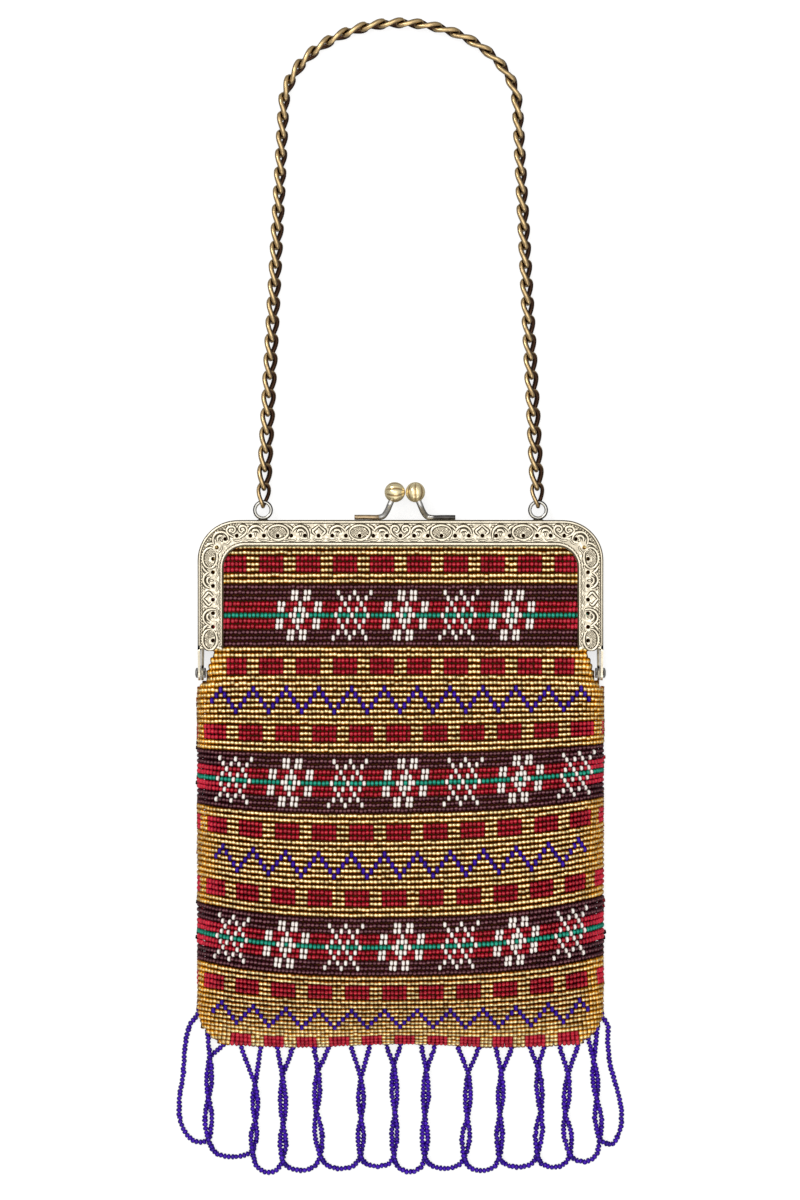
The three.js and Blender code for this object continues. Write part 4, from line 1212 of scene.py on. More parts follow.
# Metal of the frame
CORNER_STEPS = 14
HOLE_STEPS = 12
BORE_STEPS = 14
EAR_STEPS = 16
ARCH_STEPS = 9
STRAP_SHARE = 0.98  # of the half's height and of the leg's end, so that the strap stays inside them
BORE_RADIUS = 1.1 * MM
BAND_STRAIGHT = HALF_WIDTH - FRAME_CORNER  # along the band from the top's middle to a corner
BAND_ARC = (FRAME_CORNER - FRAME_BAND / 2) * np.pi / 2  # and round it
BAND_END = 2 * MM  # from the ends of the legs to the end of the ornament
BAND_REACH = BAND_STRAIGHT + BAND_ARC + FRAME_TOP - FRAME_CORNER - LEG_END - BAND_END
LAST_HOLE = 2 * MM  # from the end of the ornament
# How bright the plates, the rims and the back half's straps are; the back half's straps are dark as painted
# shade
PLATE_CREST = 0.8
RIM_CREST = 0.75
BACK_STRAP_SHADE = 0.35


def band_line(inset, radius, foot):
    """The frame's U at an inset from its outer edge, with corners of a given radius, from the left leg's foot
    to the right one's."""
    half = HALF_WIDTH - inset
    top = FRAME_TOP - inset
    turns = np.linspace(0, np.pi / 2, CORNER_STEPS)
    left = [(-half + radius - radius * math.cos(t), top - radius + radius * math.sin(t)) for t in turns]
    right = [(-x, y) for x, y in left[::-1]]
    return [(-half, foot), *left, *right, (half, foot)]


def on_band(along, inset):
    """Places on the frame's face at distances along it from the top's middle and at an inset, or insets, from
    its outer edge."""
    along = np.asarray(along, float)
    walk = np.abs(along)
    turn = np.clip((walk - BAND_STRAIGHT) / BAND_ARC, 0, 1) * np.pi / 2
    reach = FRAME_CORNER - inset
    x = np.minimum(walk, BAND_STRAIGHT) + reach * np.sin(turn)
    past = np.maximum(walk - BAND_STRAIGHT - BAND_ARC, 0)
    y = FRAME_TOP - FRAME_CORNER + reach * np.cos(turn) - past
    return np.stack([np.sign(along) * x, y], axis=-1)


def filled(loops, depth):
    """Vertices and faces of a flat plate of a given depth, from its outline and its holes."""
    drawing = bpy.data.curves.new("plate", "CURVE")
    drawing.dimensions = "2D"
    drawing.fill_mode = "BOTH"
    drawing.extrude = depth / 2
    for loop in loops:
        spline = drawing.splines.new("POLY")
        spline.points.add(len(loop) - 1)
        for point, (x, y) in zip(spline.points, loop):
            point.co = (x, y, 0, 1)
        spline.use_cyclic_u = True
    holder = bpy.data.objects.new("plate", drawing)
    bpy.context.scene.collection.objects.link(holder)
    mesh = bpy.data.meshes.new_from_object(holder.evaluated_get(bpy.context.evaluated_depsgraph_get()))
    vertices = np.array([v.co for v in mesh.vertices])
    faces = [list(face.vertices) for face in mesh.polygons]
    bpy.data.objects.remove(holder)
    bpy.data.curves.remove(drawing)
    bpy.data.meshes.remove(mesh)
    return vertices, faces


def hole_places():
    """Places of the sewing holes along the band."""
    reach = BAND_REACH - LAST_HOLE
    return np.linspace(-reach, reach, round(2 * reach / SEW_PITCH) + 1)


def circle(radius, steps):
    """A ring of flat points."""
    turns = round_turns(steps)
    return radius * np.stack([np.cos(turns), np.sin(turns)], axis=1)


def room_at_holes(places):
    """How far each of some flat places is from the middle of the nearest sewing hole."""
    holes = on_band(hole_places(), SEW_INSET)
    return np.min(np.linalg.norm(places[:, None] - holes[None], axis=2), axis=1)


def spaced(line, spacing):
    """Flat places at an even spacing along a line."""
    line = np.asarray(line)
    along = walked(line)
    places = np.linspace(0, along[-1], round(along[-1] / spacing) + 1)
    return read_at(places, along, line)


def leg_arch(inner_x, outer_x):
    """The arch in the end of a leg's plate."""
    turns = np.linspace(0, np.pi, ARCH_STEPS)[1:-1]
    return [(mix(inner_x, outer_x, (1 - math.cos(t)) / 2), LEG_END + LEG_ARCH * math.sin(t)) for t in turns]


def strap_outline(facing):
    """A hinge strap and its ear, drawn with up the bag as x and out of it as y, from the hinge."""
    turns = np.linspace(np.pi / 2, 2 * np.pi, EAR_STEPS)
    ear = [(EAR_RADIUS * math.cos(t), facing * EAR_RADIUS * math.sin(t)) for t in turns]
    start = LEG_END + (0 if facing > 0 else STRAP_OVERLAP)
    gap = facing * HALF_GAP
    rise = facing * HINGE_HEIGHT * STRAP_SHARE
    return [(start, gap), (start, rise), (STRAP_SHARE * LEG_END, rise), *ear, (EAR_RADIUS, gap)]


def frame_half(facing):
    """Plate, rim and hinge straps of one half. Facing is 1 for the front half and -1 for the back."""
    heap = Heap()
    outer = band_line(0, FRAME_CORNER, LEG_END)
    inner = band_line(FRAME_BAND, INNER_CORNER, LEG_END)
    edge = HALF_WIDTH - FRAME_BAND
    outline = [*outer, *leg_arch(HALF_WIDTH, edge), *inner[::-1], *leg_arch(-edge, -HALF_WIDTH)]
    holes = [circle(SEW_HOLE / 2, HOLE_STEPS) + middle for middle in on_band(hole_places(), SEW_INSET)]
    vertices, faces = filled([outline, *holes], FRAME_SHEET)
    vertices[:, 2] += HINGE_HEIGHT + facing * (HINGE_HEIGHT - FRAME_SHEET / 2)
    heap.add(vertices, faces, PLATE_CREST, ground=1.0)
    depth = HINGE_HEIGHT - HALF_GAP
    rim_line = [*outer, *band_line(FRAME_SHEET, FRAME_CORNER - FRAME_SHEET, LEG_END)[::-1]]
    vertices, faces = filled([rim_line], depth)
    vertices[:, 2] += HINGE_HEIGHT + facing * (HALF_GAP + depth / 2)
    heap.add(vertices, faces, RIM_CREST)
    vertices, faces = filled([strap_outline(facing), circle(BORE_RADIUS, BORE_STEPS)], FRAME_SHEET)
    up, out, through = vertices.T
    middle = (HALF_WIDTH if facing > 0 else INNER_EAR + FRAME_SHEET) - FRAME_SHEET / 2
    for side in (-1, 1):
        upright = np.stack([side * middle + through, up, HINGE_HEIGHT + out], axis=1)
        # The back half's straps are painted in shade
        heap.add(upright, faces, RIM_CREST if facing > 0 else BACK_STRAP_SHADE)
    return heap


# A ridge's profile from its foot to its middle: sideways, height and brightness, with painted shade along its
# foot and a painted highlight along its top
RIDGE_SIDE = ((-1.0, 0.03, 0.5), (-0.9, 0.04, 0.0), (-0.56, 0.06, 0.0), (-0.42, 0.7, 0.9))
RIDGE = (*RIDGE_SIDE, (0.0, 1.0, 1.0), *((-x, rise, bright) for x, rise, bright in RIDGE_SIDE[::-1]))
RIDGE_END = 0.06  # share of a half turn that is left out at each end, so that the ends are low but not flat
RIDGE_TAPER = 0.35  # exponent of a ridge's swell along its length
# A dome's rings from its foot to its top: radius, height and brightness, with painted shade round its foot
# and a painted highlight on top
BOSS_RINGS = ((1.4, 0.03, 0.4), (1.2, 0.05, 0.0), (0.98, 0.08, 0.1), (0.75, 0.7, 0.95), (0.35, 0.96, 1.0))


def ridge(line, width, height):
    """A raised ridge along a line of flat places, higher in its middle, with low ends."""
    line = np.asarray(line)
    tangents = unit(np.gradient(line, axis=0))
    across = np.stack([-tangents[:, 1], tangents[:, 0]], axis=1)
    swells = np.sin(np.pi * np.linspace(RIDGE_END, 1 - RIDGE_END, len(line))) ** RIDGE_TAPER
    vertices = []
    crest = []
    for place, side, swell in zip(line, across, swells):
        for sideways, rise, bright in RIDGE:
            flat = place + side * sideways * width * swell
            vertices.append((*flat, rise * height * swell))
            crest.append(bright)
    return np.array(vertices), grid_faces(len(line), len(RIDGE)), crest


def boss(place, radius, height, stretch=1.0, turn=0.0, sides=8):
    """A low dome on the face, round or stretched along a direction."""
    vertices = []
    crest = []
    for share, rise, bright in BOSS_RINGS:
        for t in round_turns(sides):
            u = radius * share * stretch * math.cos(t)
            v = radius * share * math.sin(t)
            x = place[0] + u * math.cos(turn) - v * math.sin(turn)
            y = place[1] + u * math.sin(turn) + v * math.cos(turn)
            vertices.append((x, y, rise * height))
            crest.append(bright)
    faces = grid_faces(len(BOSS_RINGS), sides, closed=True)
    faces.append(list(range(len(vertices) - sides, len(vertices))))
    return np.array(vertices), faces, crest


# Ornament of the filigree, in millimetres: along the band from a motif's middle, and in from the band's edge
HEART = (
    (0.2, 7.3), (1.9, 6.4), (3.5, 4.9), (3.8, 3.3), (2.8, 2.2), (1.3, 2.4), (0.7, 3.7), (1.6, 4.7), (2.5, 4),
)
DIAMOND = ((0.0, 2.0), (1.1, 3.0), (2.5, 4.4), (1.2, 5.9), (0.0, 7.2))
ARCH = ((4.3, 7.3), (4.2, 5.2), (5.1, 3.3), (6.9, 2.2), (8.8, 2.5), (10.3, 3.9), (11.2, 5.8), (11.9, 7.3))
CURL = ((5.7, 5.0), (6.6, 3.9), (8.0, 3.9), (8.8, 5.0))
CROSSING = ((12.8, 2.0), (11.6, 2.6), (10.4, 4.0))
LEAVES = ((4.3, 2.4, 30), (7.3, 5.5, 90), (9.9, 2.3, 150), (13.6, 7.6, 20))  # with their turns in degrees
OVAL_LENGTH, OVAL_HEIGHT = 4.1, 2.9  # half of each
OVAL_INSET = 4.8
OVAL_STEPS = 40
GRAIN_ROWS = (-1.75, -0.75, 0.25, 1.25)  # inward from an oval's middle
GRAIN_REACH = 3  # grains on each side of the middle one
GRAIN_PITCH = 1.05
GRAIN_ROOM = (0.9, 0.7)  # from the grains to the oval round them, along it and inward

MOTIFS = 7  # from the middle of the top to the end of a leg: a heart or a diamond, then an oval
LAST_MOTIF = 2.4 * MM  # from the end of the ornament
STROKE_STEP = 0.3 * MM
STROKE_LEAST = 5  # points in the shortest piece of a stroke
LEAF_RADIUS = 0.42 * MM
LEAF_STRETCH = 1.9
GRAIN_RADIUS = 0.4 * MM
GRAIN_SIDES = 6
GRAIN_HOLE_ROOM = 0.45 * MM  # from a grain's middle to the edge of a sewing hole
SCALLOP_INSET = 8.1 * MM  # of its middle, and how far its ends come back
SCALLOP_BOW = 0.8 * MM
SCALLOP_HALF = 0.42 * SEW_PITCH
SCALLOP_STEPS = 9
SCALLOP_WIDTH = 0.55  # share of the ridges' width and height
SCALLOP_HEIGHT = 0.6
# Rims on the band, each at a distance from its own edge, and a dark strip of painted shadow just past the
# inner edge, with their heights as shares of the ridges' height
RIM_STEP = 0.8 * MM
RIM_END = 2 * MM  # above the ends of the legs
OUTER_RIM = 0.6 * MM
OUTER_RIM_WIDTH = 0.8 * MM
INNER_RIM = 0.35 * MM
INNER_RIM_WIDTH = 0.9 * MM
INNER_RIM_HEIGHT = 0.8
SHADOW_STRIP_OUT = 0.1 * MM
SHADOW_STRIP_END = 1 * MM
SHADOW_STRIP_WIDTH = 0.66 * MM
SHADOW_STRIP_HEIGHT = 0.1
# Rows of grains beside the rims: from the edge, and from one grain to the next
OUTER_GRAINS, OUTER_GRAIN_PITCH = 1.55 * MM, 1.15 * MM
INNER_GRAINS, INNER_GRAIN_PITCH = 0.7 * MM, 1.4 * MM
EDGE_GRAIN_RADIUS = 0.42 * MM
EDGE_GRAIN_HEIGHT = 1.15


class BAG_OT_frame(bpy.types.Operator):
    """Both halves of the purse frame, with scrolls, ovals, leaves and beaded edges in relief"""

    bl_idname = "bag.frame"
    bl_label = "Purse frame"

    def execute(self, context):
        metal = metal_material("frame_metal", context.scene.bag_colours)
        for facing, name, body in ((1, "front", "front_half"), (-1, "back", "bag")):
            plate = frame_half(facing).piece(f"frame_{name}_plate", metal, "frame_metal")
            plate.data.shade_flat()
            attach(plate, body)
            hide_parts(f"frame_{name}")
            relief = self.relief(context.scene.bag_sizes)
            for vertex in relief.vertices:
                vertex[2] = HINGE_HEIGHT + facing * (HINGE_HEIGHT + vertex[2])
            if facing < 0:
                relief.faces = [face[::-1] for face in relief.faces]
            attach(relief.piece(f"frame_{name}_relief", metal, "frame_metal"), body)
        return {"FINISHED"}

    def relief(self, sizes):
        """The ornament of one half, flat, with its height as z."""
        heap = Heap()
        width, height = sizes.ridge_width, sizes.ridge_height
        pitch = (BAND_REACH - LAST_MOTIF) / MOTIFS
        for side in (-1, 1):
            for number in range(0, MOTIFS + 1, 2):
                middle = (HEART,) if number % 4 == 0 else (DIAMOND,)
                strokes = (*middle, ARCH, CURL, CROSSING)
                for way in (-1, 1) if number else (1,):
                    self.add_motif(heap, side, number * pitch, way, strokes, width, height)
            for number in range(1, MOTIFS + 1, 2):
                self.add_oval(heap, side, number * pitch, width, height)
        self.add_scallops(heap, width, height)
        self.add_edges(heap, height)
        return heap

    def add_motif(self, heap, side, start, way, strokes, width, height):
        """Scrolls and leaves, running up or down the band from a motif's middle."""
        for stroke in strokes:
            points = curve_through([(along * MM, inset * MM, 0) for along, inset in stroke], STROKE_STEP)
            self.add_stroke(heap, on_band(side * (start + way * points[:, 0]), points[:, 1]), width, height)
        for along, inset, turn in LEAVES:
            place = side * (start + way * along * MM)
            self.add_leaf(heap, place, inset * MM, side * way * turn, height)

    def add_stroke(self, heap, line, width, height):
        """Ridges along the parts of a line that are clear of the sewing holes."""
        clear = room_at_holes(line) > SEW_HOLE / 2 + 0.5 * width
        breaks = np.flatnonzero(np.diff(clear.astype(int))) + 1
        for part, kept in zip(np.split(line, breaks), np.split(clear, breaks)):
            if kept[0] and len(part) >= STROKE_LEAST:
                heap.add(*ridge(part, width, height))

    def add_leaf(self, heap, along, inset, turn, height):
        """A long dome, turned from the band's own direction."""
        place = on_band(along, inset)
        ahead = on_band(along + 0.1 * MM, inset) - place
        lean = math.atan2(ahead[1], ahead[0]) + math.radians(turn)
        heap.add(*boss(place, LEAF_RADIUS, height, LEAF_STRETCH, lean))

    def add_oval(self, heap, side, middle, width, height):
        """An oval frame over a ground of grains."""
        turns = np.linspace(0, 2 * np.pi, OVAL_STEPS)
        along = middle + OVAL_LENGTH * MM * np.cos(turns)
        inset = (OVAL_INSET + OVAL_HEIGHT * np.sin(turns)) * MM
        self.add_stroke(heap, on_band(side * along, inset), width, height)
        ground_length, ground_height = OVAL_LENGTH - GRAIN_ROOM[0], OVAL_HEIGHT - GRAIN_ROOM[1]
        for row, down in enumerate(GRAIN_ROWS):
            for column in range(-GRAIN_REACH, GRAIN_REACH + 1):
                out = (column + 0.5 * (row % 2)) * GRAIN_PITCH
                place = on_band(side * (middle + out * MM), (OVAL_INSET + down) * MM)
                clear = room_at_holes(place[None])[0] > SEW_HOLE / 2 + GRAIN_HOLE_ROOM
                if clear and (out / ground_length) ** 2 + (down / ground_height) ** 2 < 1:
                    heap.add(*boss(place, GRAIN_RADIUS, height, sides=GRAIN_SIDES))

    def add_scallops(self, heap, width, height):
        """Small arcs under the sewing holes."""
        bow = np.linspace(-1, 1, SCALLOP_STEPS)
        inset = SCALLOP_INSET - SCALLOP_BOW * bow**2
        for place in hole_places():
            line = on_band(place + SCALLOP_HALF * bow, inset)
            heap.add(*ridge(line, SCALLOP_WIDTH * width, SCALLOP_HEIGHT * height))

    def add_edges(self, heap, height):
        """Smooth rims, a dark strip of painted shadow over the cloth, and rows of grains along the legs and
        round the corners.
        """
        foot = LEG_END + RIM_END
        outer_rim = self.outer_line(OUTER_RIM, foot, RIM_STEP)
        heap.add(*ridge(outer_rim, OUTER_RIM_WIDTH, height))
        inner_rim = self.inner_line(INNER_RIM, foot, RIM_STEP)
        heap.add(*ridge(inner_rim, INNER_RIM_WIDTH, INNER_RIM_HEIGHT * height))
        # A dark strip just past the plate's inner edge, painted shadow between the frame and the beads
        shadow_strip = self.inner_line(-SHADOW_STRIP_OUT, LEG_END + SHADOW_STRIP_END, RIM_STEP)
        vertices, faces, _ = ridge(shadow_strip, SHADOW_STRIP_WIDTH, SHADOW_STRIP_HEIGHT * height)
        heap.add(vertices, faces, 0.0)
        outer_grains = self.outer_line(OUTER_GRAINS, foot, OUTER_GRAIN_PITCH)
        inner_grains = self.inner_line(INNER_GRAINS, foot, INNER_GRAIN_PITCH)
        for place in (*outer_grains, *inner_grains):
            if abs(place[0]) > BAND_STRAIGHT:
                heap.add(*boss(place, EDGE_GRAIN_RADIUS, EDGE_GRAIN_HEIGHT * height, sides=GRAIN_SIDES))

    def outer_line(self, inset, foot, spacing):
        """Places along the band, at an inset from its outer edge."""
        return spaced(band_line(inset, FRAME_CORNER - inset, foot), spacing)

    def inner_line(self, outset, foot, spacing):
        """Places along the band, at a distance out from its inner edge."""
        return spaced(band_line(FRAME_BAND - outset, INNER_CORNER + outset, foot), spacing)


def lathe(profile, sides):
    """Vertices and faces turned about Z from a profile of radius and height, closed at both ends."""
    vertices = [(r * math.cos(t), r * math.sin(t), z) for r, z in profile for t in round_turns(sides)]
    return np.array(vertices), capped_faces(len(profile), sides)


# Rivets
RIVET_STAND = 0.3 * MM  # of a head from its ear
RIVET_SIDES = 20
# Rows of the two heads, from inside the bag outward: radius and distance out in millimetres, and brightness,
# with a painted highlight on the dome and painted shade at its foot
INNER_HEAD = ((0.2, -0.6, 0.4), (1.8, -0.6, 0.4), (2.1, -0.3, 0.5), (2.1, 0, 0.1), (0.8, 0, 0.0))
OUTER_HEAD = (
    (0.8, 0, 0.0), (2.1, 0, 0.1), (2.05, 0.35, 0.5), (1.65, 0.75, 0.8), (0.9, 0.97, 1.0), (0.2, 1.0, 1.0),
)


class BAG_OT_rivets(bpy.types.Operator):
    """The two domed rivets that the frame turns on"""

    bl_idname = "bag.rivets"
    bl_label = "Hinge rivets"

    def execute(self, context):
        metal = metal_material("rivet_metal", context.scene.bag_colours)
        profile = []
        crest = []
        for start, head in ((INNER_EAR - RIVET_STAND, INNER_HEAD), (HALF_WIDTH + RIVET_STAND, OUTER_HEAD)):
            for radius, out, bright in head:
                profile.append((radius * MM, start + out * MM))
                crest.append(bright)
        vertices, faces = lathe(profile, RIVET_SIDES)
        for side, name in ((-1, "left"), (1, "right")):
            turned = np.stack([side * vertices[:, 2], side * vertices[:, 1], vertices[:, 0]], axis=1)
            turned[:, 2] += HINGE_HEIGHT
            heap = Heap()
            heap.add(turned, [face[::-1] for face in faces], np.repeat(crest, RIVET_SIDES))
            rivet = heap.piece(f"rivet_{name}", metal, "rivet_metal")
            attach(rivet, "bag")
            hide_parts(f"hinge_rivet_{name}")
        return {"FINISHED"}


# Clasp
CLASP_SHIFT = 1.8 * MM
BALL_RADIUS = 4.05 * MM
BALL_SPREAD = 4.15 * MM
BALL_HEIGHT = FRAME_TOP + 11.4 * MM
BALL_RINGS, BALL_SIDES = 22, 64
BALL_POLE = 0.495  # share of a half turn from a ball's middle to the small flat at its pole
BALL_POINT = 1.04  # how far the front ball is drawn out towards the other
FLUTES = 8
FLUTE_DEPTH = 0.07  # share of the radius
FLUTE_SHARPNESS = 5  # exponents across and along a flute
FLUTE_RUN = 0.5
# How dark the flutes are painted, as painted shade
FLUTE_SHADE = 0.8
FOOT_START = 10.4 * MM
FOOT_LENGTH = 9.8 * MM
FOOT_SEAT = 0.3 * MM  # above the frame's edge
FOOT_MIDDLE = 1 * MM  # above its seat
FOOT_THICK, FOOT_WIDE = 1 * MM, 2 * MM  # half of each
FOOT_SQUARENESS = 0.55
FOOT_NECK = 3 * MM  # length in which the foot narrows into the stem
# How much of the painted highlight each foot keeps: the back foot is kept dark as painted shadow
FRONT_FOOT_CREST, BACK_FOOT_SHADE = 0.75, 0.22
STEM_RADIUS = 1.15 * MM
STEM_OUT = 1.6 * MM  # from below a ball's middle to where its stem meets it
STEM_IN = 0.7 * MM  # how far the stem runs in past the ball's lowest point
ARM_STEP = 0.5 * MM
ARM_SIDES = 16


def squared(t):
    """A sine or cosine that stays near its ends, for a section with rounded corners."""
    return np.sign(t) * np.abs(t) ** FOOT_SQUARENESS


class BAG_OT_clasp(bpy.types.Operator):
    """The two arms of the clasp and their fluted balls"""

    bl_idname = "bag.clasp"
    bl_label = "Ball clasp"

    def execute(self, context):
        colours = context.scene.bag_colours
        copper = metal_material("clasp_foot_metal", colours)
        nickel = metal_material("clasp_metal", colours)
        gold = metal_material("ball_metal", colours)
        halves = ((-1, 1, "front", "front_half", copper), (1, -1, "back", "bag", nickel))
        for side, facing, name, body, foot in halves:
            arm = self.arm(side, facing).piece(f"clasp_{name}_arm", nickel, "clasp_metal")
            arm.data.materials.append(foot)
            for face in arm.data.polygons:
                face.material_index = int(abs(face.center.x - CLASP_SHIFT) > FOOT_START)
            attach(arm, body)
            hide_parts(f"clasp_arm_{name}")
            ball = self.ball(side, lying=side < 0).piece(f"clasp_{name}_ball", gold, "ball_metal")
            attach(ball, body)
            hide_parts(f"clasp_ball_{name}")
        return {"FINISHED"}

    def arm(self, side, facing):
        """A flat foot on the frame's edge that narrows into a round stem and bends up to the ball."""
        seat = FRAME_TOP + FOOT_SEAT
        level = HINGE_HEIGHT * (1 + facing / 2)
        top = BALL_HEIGHT - BALL_RADIUS + STEM_IN
        stem = BALL_SPREAD + STEM_OUT
        # Distance out from the clasp's middle, place up the bag and height, from the foot's end to the ball
        places = (
            (FOOT_START + FOOT_LENGTH, seat + FOOT_MIDDLE, level),
            (FOOT_START + FOOT_LENGTH / 2, seat + FOOT_MIDDLE, level),
            (FOOT_START, seat + FOOT_MIDDLE, level),
            (FOOT_START - 1.6 * MM, seat + 1.4 * MM, level),
            (mix(stem, FOOT_START, 0.32), mix(seat, top, 0.44), mix(HINGE_HEIGHT, level, 0.5)),
            (stem + 0.4 * MM, mix(seat, top, 0.76), HINGE_HEIGHT),
            (stem - 0.4 * MM, top, HINGE_HEIGHT),
        )
        line = curve_through([(CLASP_SHIFT + side * out, up, z) for out, up, z in places], ARM_STEP)
        across, over = side_frames(line)
        foot = 1 - eased((walked(line) - FOOT_LENGTH + FOOT_NECK / 2) / FOOT_NECK)
        foot_crest = BACK_FOOT_SHADE if side > 0 else FRONT_FOOT_CREST
        vertices = []
        crest = []
        for place, a, b, share in zip(line, across, over, foot):
            flat, deep = (a, b) if abs(a[1]) > abs(b[1]) else (b, a)
            for t in round_turns(ARM_SIDES):
                thick = mix(STEM_RADIUS * math.cos(t), FOOT_THICK * squared(math.cos(t)), share)
                wide = mix(STEM_RADIUS * math.sin(t), FOOT_WIDE * squared(math.sin(t)), share)
                out = flat * thick + deep * wide
                vertices.append(place + out)
                # Painted highlight where the arm faces up, dimmed on the feet
                facing_out = max(0.0, out[2] / np.linalg.norm(out))
                crest.append(facing_out * mix(1.0, foot_crest, share))
        heap = Heap()
        heap.add(vertices, capped_faces(len(line), ARM_SIDES), crest)
        return heap

    def ball(self, side, lying):
        """A melon-fluted ball, with its poles at its sides or above and below."""
        vertices = []
        crest = []
        for lift in np.linspace(-BALL_POLE, BALL_POLE, BALL_RINGS) * np.pi:
            for turn in round_turns(BALL_SIDES):
                flute = FLUTES * turn / 2 + (0 if lying else np.pi / 2)
                groove = abs(math.sin(flute)) ** FLUTE_SHARPNESS * math.cos(lift) ** FLUTE_RUN
                radius = BALL_RADIUS * (1 - FLUTE_DEPTH * groove)
                flat = (radius * math.cos(lift) * math.sin(turn), radius * math.cos(lift) * math.cos(turn))
                pole = radius * math.sin(lift) * (BALL_POINT if lying and lift > 0 else 1)
                vertices.append((pole, *flat) if lying else (flat[0], pole, flat[1]))
                # Painted shade in the flutes
                crest.append(1 - FLUTE_SHADE * groove)
        faces = capped_faces(BALL_RINGS, BALL_SIDES)
        if lying:
            faces = [face[::-1] for face in faces]
        middle = np.array((CLASP_SHIFT + side * BALL_SPREAD, BALL_HEIGHT, HINGE_HEIGHT))
        heap = Heap()
        heap.add(np.array(vertices) + middle, faces, crest)
        return heap


# Chain
EYE_SPREAD = HALF_WIDTH - 25.8 * MM
EYE_HEIGHT = FRAME_TOP + 4.3 * MM
EYE_RADIUS = 3.3 * MM
EYE_WIRE = 1.4 * MM
EYE_STEPS, EYE_SIDES = 40, 12
EYE_GLINT = 0.85  # how bright an eye's wire is at its painted glint
EYE_GLINT_TURN = 0.5  # radians from the top of the wire in to its painted glint
EYE_FOOT = ((2.4, -0.3), (2.3, 0.3), (1.5, 0.8), (0.4, 0.9))  # radius and height, in millimetres
EYE_FOOT_SIDES = 16
EYE_FOOT_CREST = 0.15
CHAIN_HANG = 1.15 * MM  # from inside the top of an eye to the start of the chain's middle line
CHAIN_START = EYE_HEIGHT + EYE_RADIUS - EYE_WIRE / 2 - CHAIN_HANG
CHAIN_LEG = 159 * MM
CHAIN_LEAN = 8.2 * MM
CHAIN_RISE = 35 * MM
CHAIN_STEP = 1 * MM
LEG_POINTS, ARCH_POINTS = 8, 21
LINK_COUNT = 60
LINK_LENGTH = 9 * MM
LINK_WIDTH = 4.9 * MM
LINK_FULLNESS = 0.62  # exponent of its outline, below 1 for straighter sides
LINK_TWIST = np.pi / 2  # from one end of a link to the other
LINK_STEPS, LINK_SIDES = 28, 9
LINK_WEAR_AND_LIGHT = (0.25, 0.75, 1.4)  # brightness round its wire, with painted highlight on its outer side and painted shade on its inner side as well as wear: the mean, the swing and an exponent
EYE_LINK_WIRE = 0.8  # share of the wire in the two links that hang in the eyes


def chain_line():
    """The middle of the chain, from inside the left eye over the arch to inside the right one."""
    half = EYE_SPREAD - CHAIN_LEAN
    height = HINGE_HEIGHT / 2
    shares = np.arange(LEG_POINTS) / LEG_POINTS
    leg = [(mix(EYE_SPREAD, half, t), CHAIN_START + t * CHAIN_LEG, height) for t in shares]
    arch = CHAIN_START + CHAIN_LEG
    turns = np.linspace(0, np.pi, ARCH_POINTS)
    over = [(-half * math.cos(t), arch + CHAIN_RISE * math.sin(t), height) for t in turns]
    return curve_through([*[(-x, y, z) for x, y, z in leg], *over, *leg[::-1]], CHAIN_STEP)


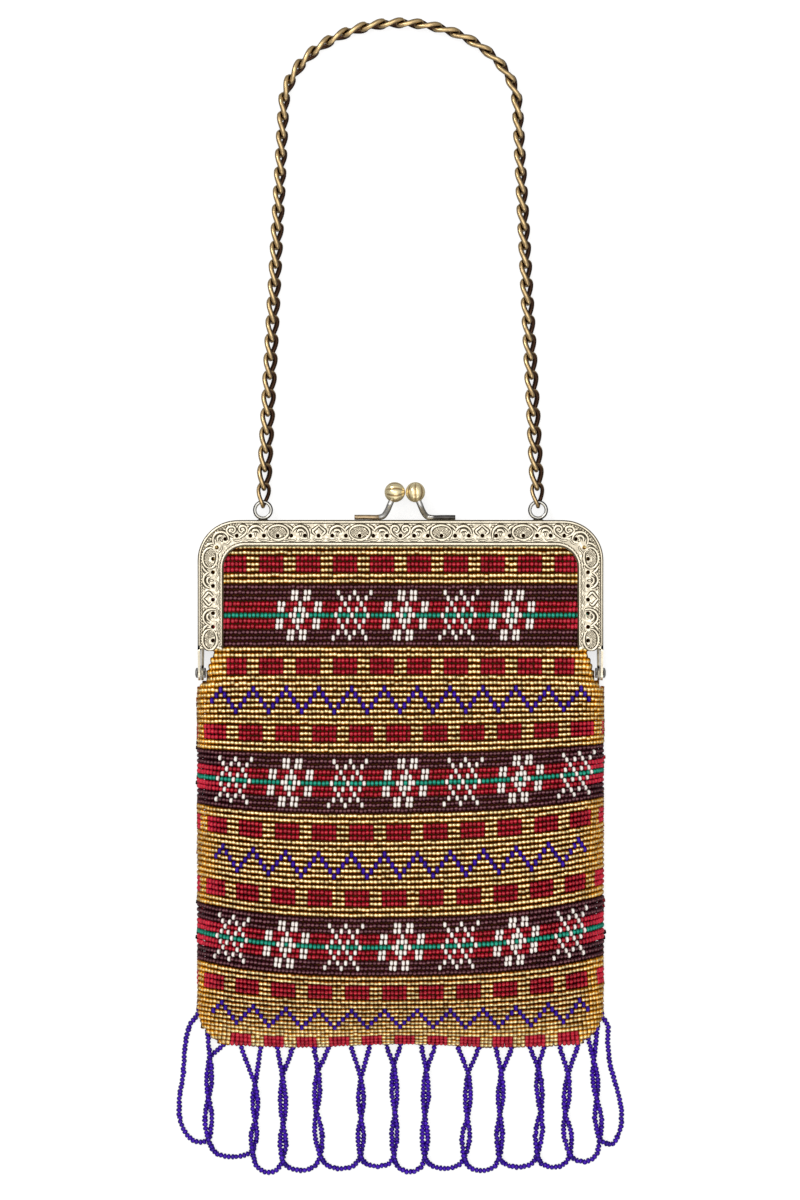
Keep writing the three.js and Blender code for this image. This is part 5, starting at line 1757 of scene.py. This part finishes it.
class BAG_OT_chain(bpy.types.Operator):
    """Twisted curb links, each its own ring, and the two eyes that they hang from"""

    bl_idname = "bag.chain"
    bl_label = "Chain"

    def execute(self, context):
        colours = context.scene.bag_colours
        brass = metal_material("chain_metal", colours)
        silver = metal_material("eye_metal", colours)
        links = self.links(context.scene.bag_sizes.link_wire).piece("chain_links", brass, "chain_metal")
        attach(links, "chain")
        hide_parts(*(f"chain_run_{run:02d}" for run in range(1, 13)))
        for side, name in ((-1, "left"), (1, "right")):
            eye = self.eye(side).piece(f"eye_{name}", silver, "eye_metal")
            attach(eye, "bag")
            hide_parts(f"chain_eye_{name}")
        return {"FINISHED"}

    def links(self, wire):
        """All the links, each rolled a little further than the one before."""
        line = chain_line()
        along = walked(line)
        pitch = (along[-1] - LINK_LENGTH) / (LINK_COUNT - 1)
        places = LINK_LENGTH / 2 + pitch * np.arange(LINK_COUNT)
        middles = points_at(line, places)
        ahead = unit(points_at(line, places + MM) - points_at(line, places - MM))
        heap = Heap()
        for number, (middle, tangent) in enumerate(zip(middles, ahead)):
            roll = mix(LINK_TWIST / 2, np.pi - LINK_TWIST / 2, number / (LINK_COUNT - 1))
            in_eye = number in (0, LINK_COUNT - 1)
            gauge = wire * EYE_LINK_WIRE if in_eye else wire
            self.add_link(heap, middle, tangent, roll, (pitch + gauge) / 2, gauge)
        return heap

    def add_link(self, heap, middle, tangent, roll, reach, wire):
        """One link: an oval ring with a quarter turn of twist from end to end."""
        left = unit(np.cross((0, 0, 1), tangent))
        up = np.cross(tangent, left)
        turns = round_turns(LINK_STEPS)
        along = np.cos(turns) * reach
        swell = np.sign(np.sin(turns)) * np.abs(np.sin(turns)) ** LINK_FULLNESS * LINK_WIDTH / 2
        twist = roll - LINK_TWIST / 2 * np.cos(turns)
        sideways = np.cos(twist)[:, None] * left + np.sin(twist)[:, None] * up
        points = middle + along[:, None] * tangent + swell[:, None] * sideways
        ahead = unit(np.roll(points, -1, axis=0) - np.roll(points, 1, axis=0))
        outward = points - middle
        outward = unit(outward - ahead * np.sum(outward * ahead, axis=1, keepdims=True))
        across = np.cross(ahead, outward)
        ring = rings_round(outward, across, LINK_SIDES)
        vertices = (points[:, None] + wire / 2 * ring).reshape(-1, 3)
        mean, swing, power = LINK_WEAR_AND_LIGHT
        # Painted highlight on the outer side of the wire and painted shade on its inner side, as well as wear
        bright = np.clip(mean + swing * np.cos(round_turns(LINK_SIDES)), 0, 1) ** power
        faces = grid_faces(LINK_STEPS, LINK_SIDES, closed=True, looped=True)
        # Each face starts at its last corner, which sets the way that its diagonal runs
        faces = [[face[3], *face[:3]] for face in faces]
        heap.add(vertices, faces, np.tile(bright, LINK_STEPS))

    def eye(self, side):
        """A wire ring on a small foot."""
        vertices = []
        crest = []
        for turn in round_turns(EYE_STEPS):
            for angle in round_turns(EYE_SIDES):
                radius = EYE_RADIUS + EYE_WIRE / 2 * math.cos(angle)
                height = EYE_WIRE / 2 * math.sin(angle)
                vertices.append((radius * math.cos(turn), radius * math.sin(turn), height))
                # A painted glint on the wire, dark elsewhere
                crest.append(EYE_GLINT * max(0.0, math.sin(angle - EYE_GLINT_TURN)) ** 2)
        middle = np.array((side * EYE_SPREAD, EYE_HEIGHT, HINGE_HEIGHT / 2))
        faces = grid_faces(EYE_STEPS, EYE_SIDES, closed=True, looped=True)
        heap = Heap()
        heap.add(np.array(vertices) + middle, [face[::-1] for face in faces], crest)
        foot, faces = lathe([(radius * MM, height * MM) for radius, height in EYE_FOOT], EYE_FOOT_SIDES)
        standing = np.stack([foot[:, 0], foot[:, 2], -foot[:, 1]], axis=1)
        seat = np.array((side * EYE_SPREAD, FRAME_TOP, HINGE_HEIGHT / 2))
        heap.add(standing + seat, faces, EYE_FOOT_CREST)
        return heap


class BAG_PT_panel(bpy.types.Panel):
    """Buttons and values for the bag's pieces"""

    bl_idname = "BAG_PT_panel"
    bl_label = "Beaded frame bag"
    bl_space_type = "VIEW_3D"
    bl_region_type = "UI"
    bl_category = "Bag"

    def draw(self, context):
        for operator in OPERATORS:
            self.layout.operator(operator.bl_idname)
        for group in (context.scene.bag_sizes, context.scene.bag_colours):
            column = self.layout.column()
            for name in group.__annotations__:
                column.prop(group, name)


OPERATORS = (
    BAG_OT_stage,
    BAG_OT_fringe,
    BAG_OT_beads,
    BAG_OT_cloth,
    BAG_OT_frame,
    BAG_OT_rivets,
    BAG_OT_clasp,
    BAG_OT_chain,
)
CLASSES = (BagSizes, BagColours, *OPERATORS, BAG_PT_panel)


def register():
    """Adds the bag's classes, and its sizes and colours to the scene."""
    for each in CLASSES:
        bpy.utils.register_class(each)
    bpy.types.Scene.bag_sizes = bpy.props.PointerProperty(type=BagSizes)
    bpy.types.Scene.bag_colours = bpy.props.PointerProperty(type=BagColours)


def unregister():
    """Takes away what register added."""
    del bpy.types.Scene.bag_colours
    del bpy.types.Scene.bag_sizes
    for each in reversed(CLASSES):
        bpy.utils.unregister_class(each)


def main():
    """Builds the bag and its stage."""
    register()
    bpy.ops.bag.stage()
    bpy.ops.bag.fringe()
    bpy.ops.bag.beads()
    bpy.ops.bag.cloth()
    bpy.ops.bag.frame()
    bpy.ops.bag.rivets()
    bpy.ops.bag.clasp()
    bpy.ops.bag.chain()


if __name__ == "__main__":
    main()
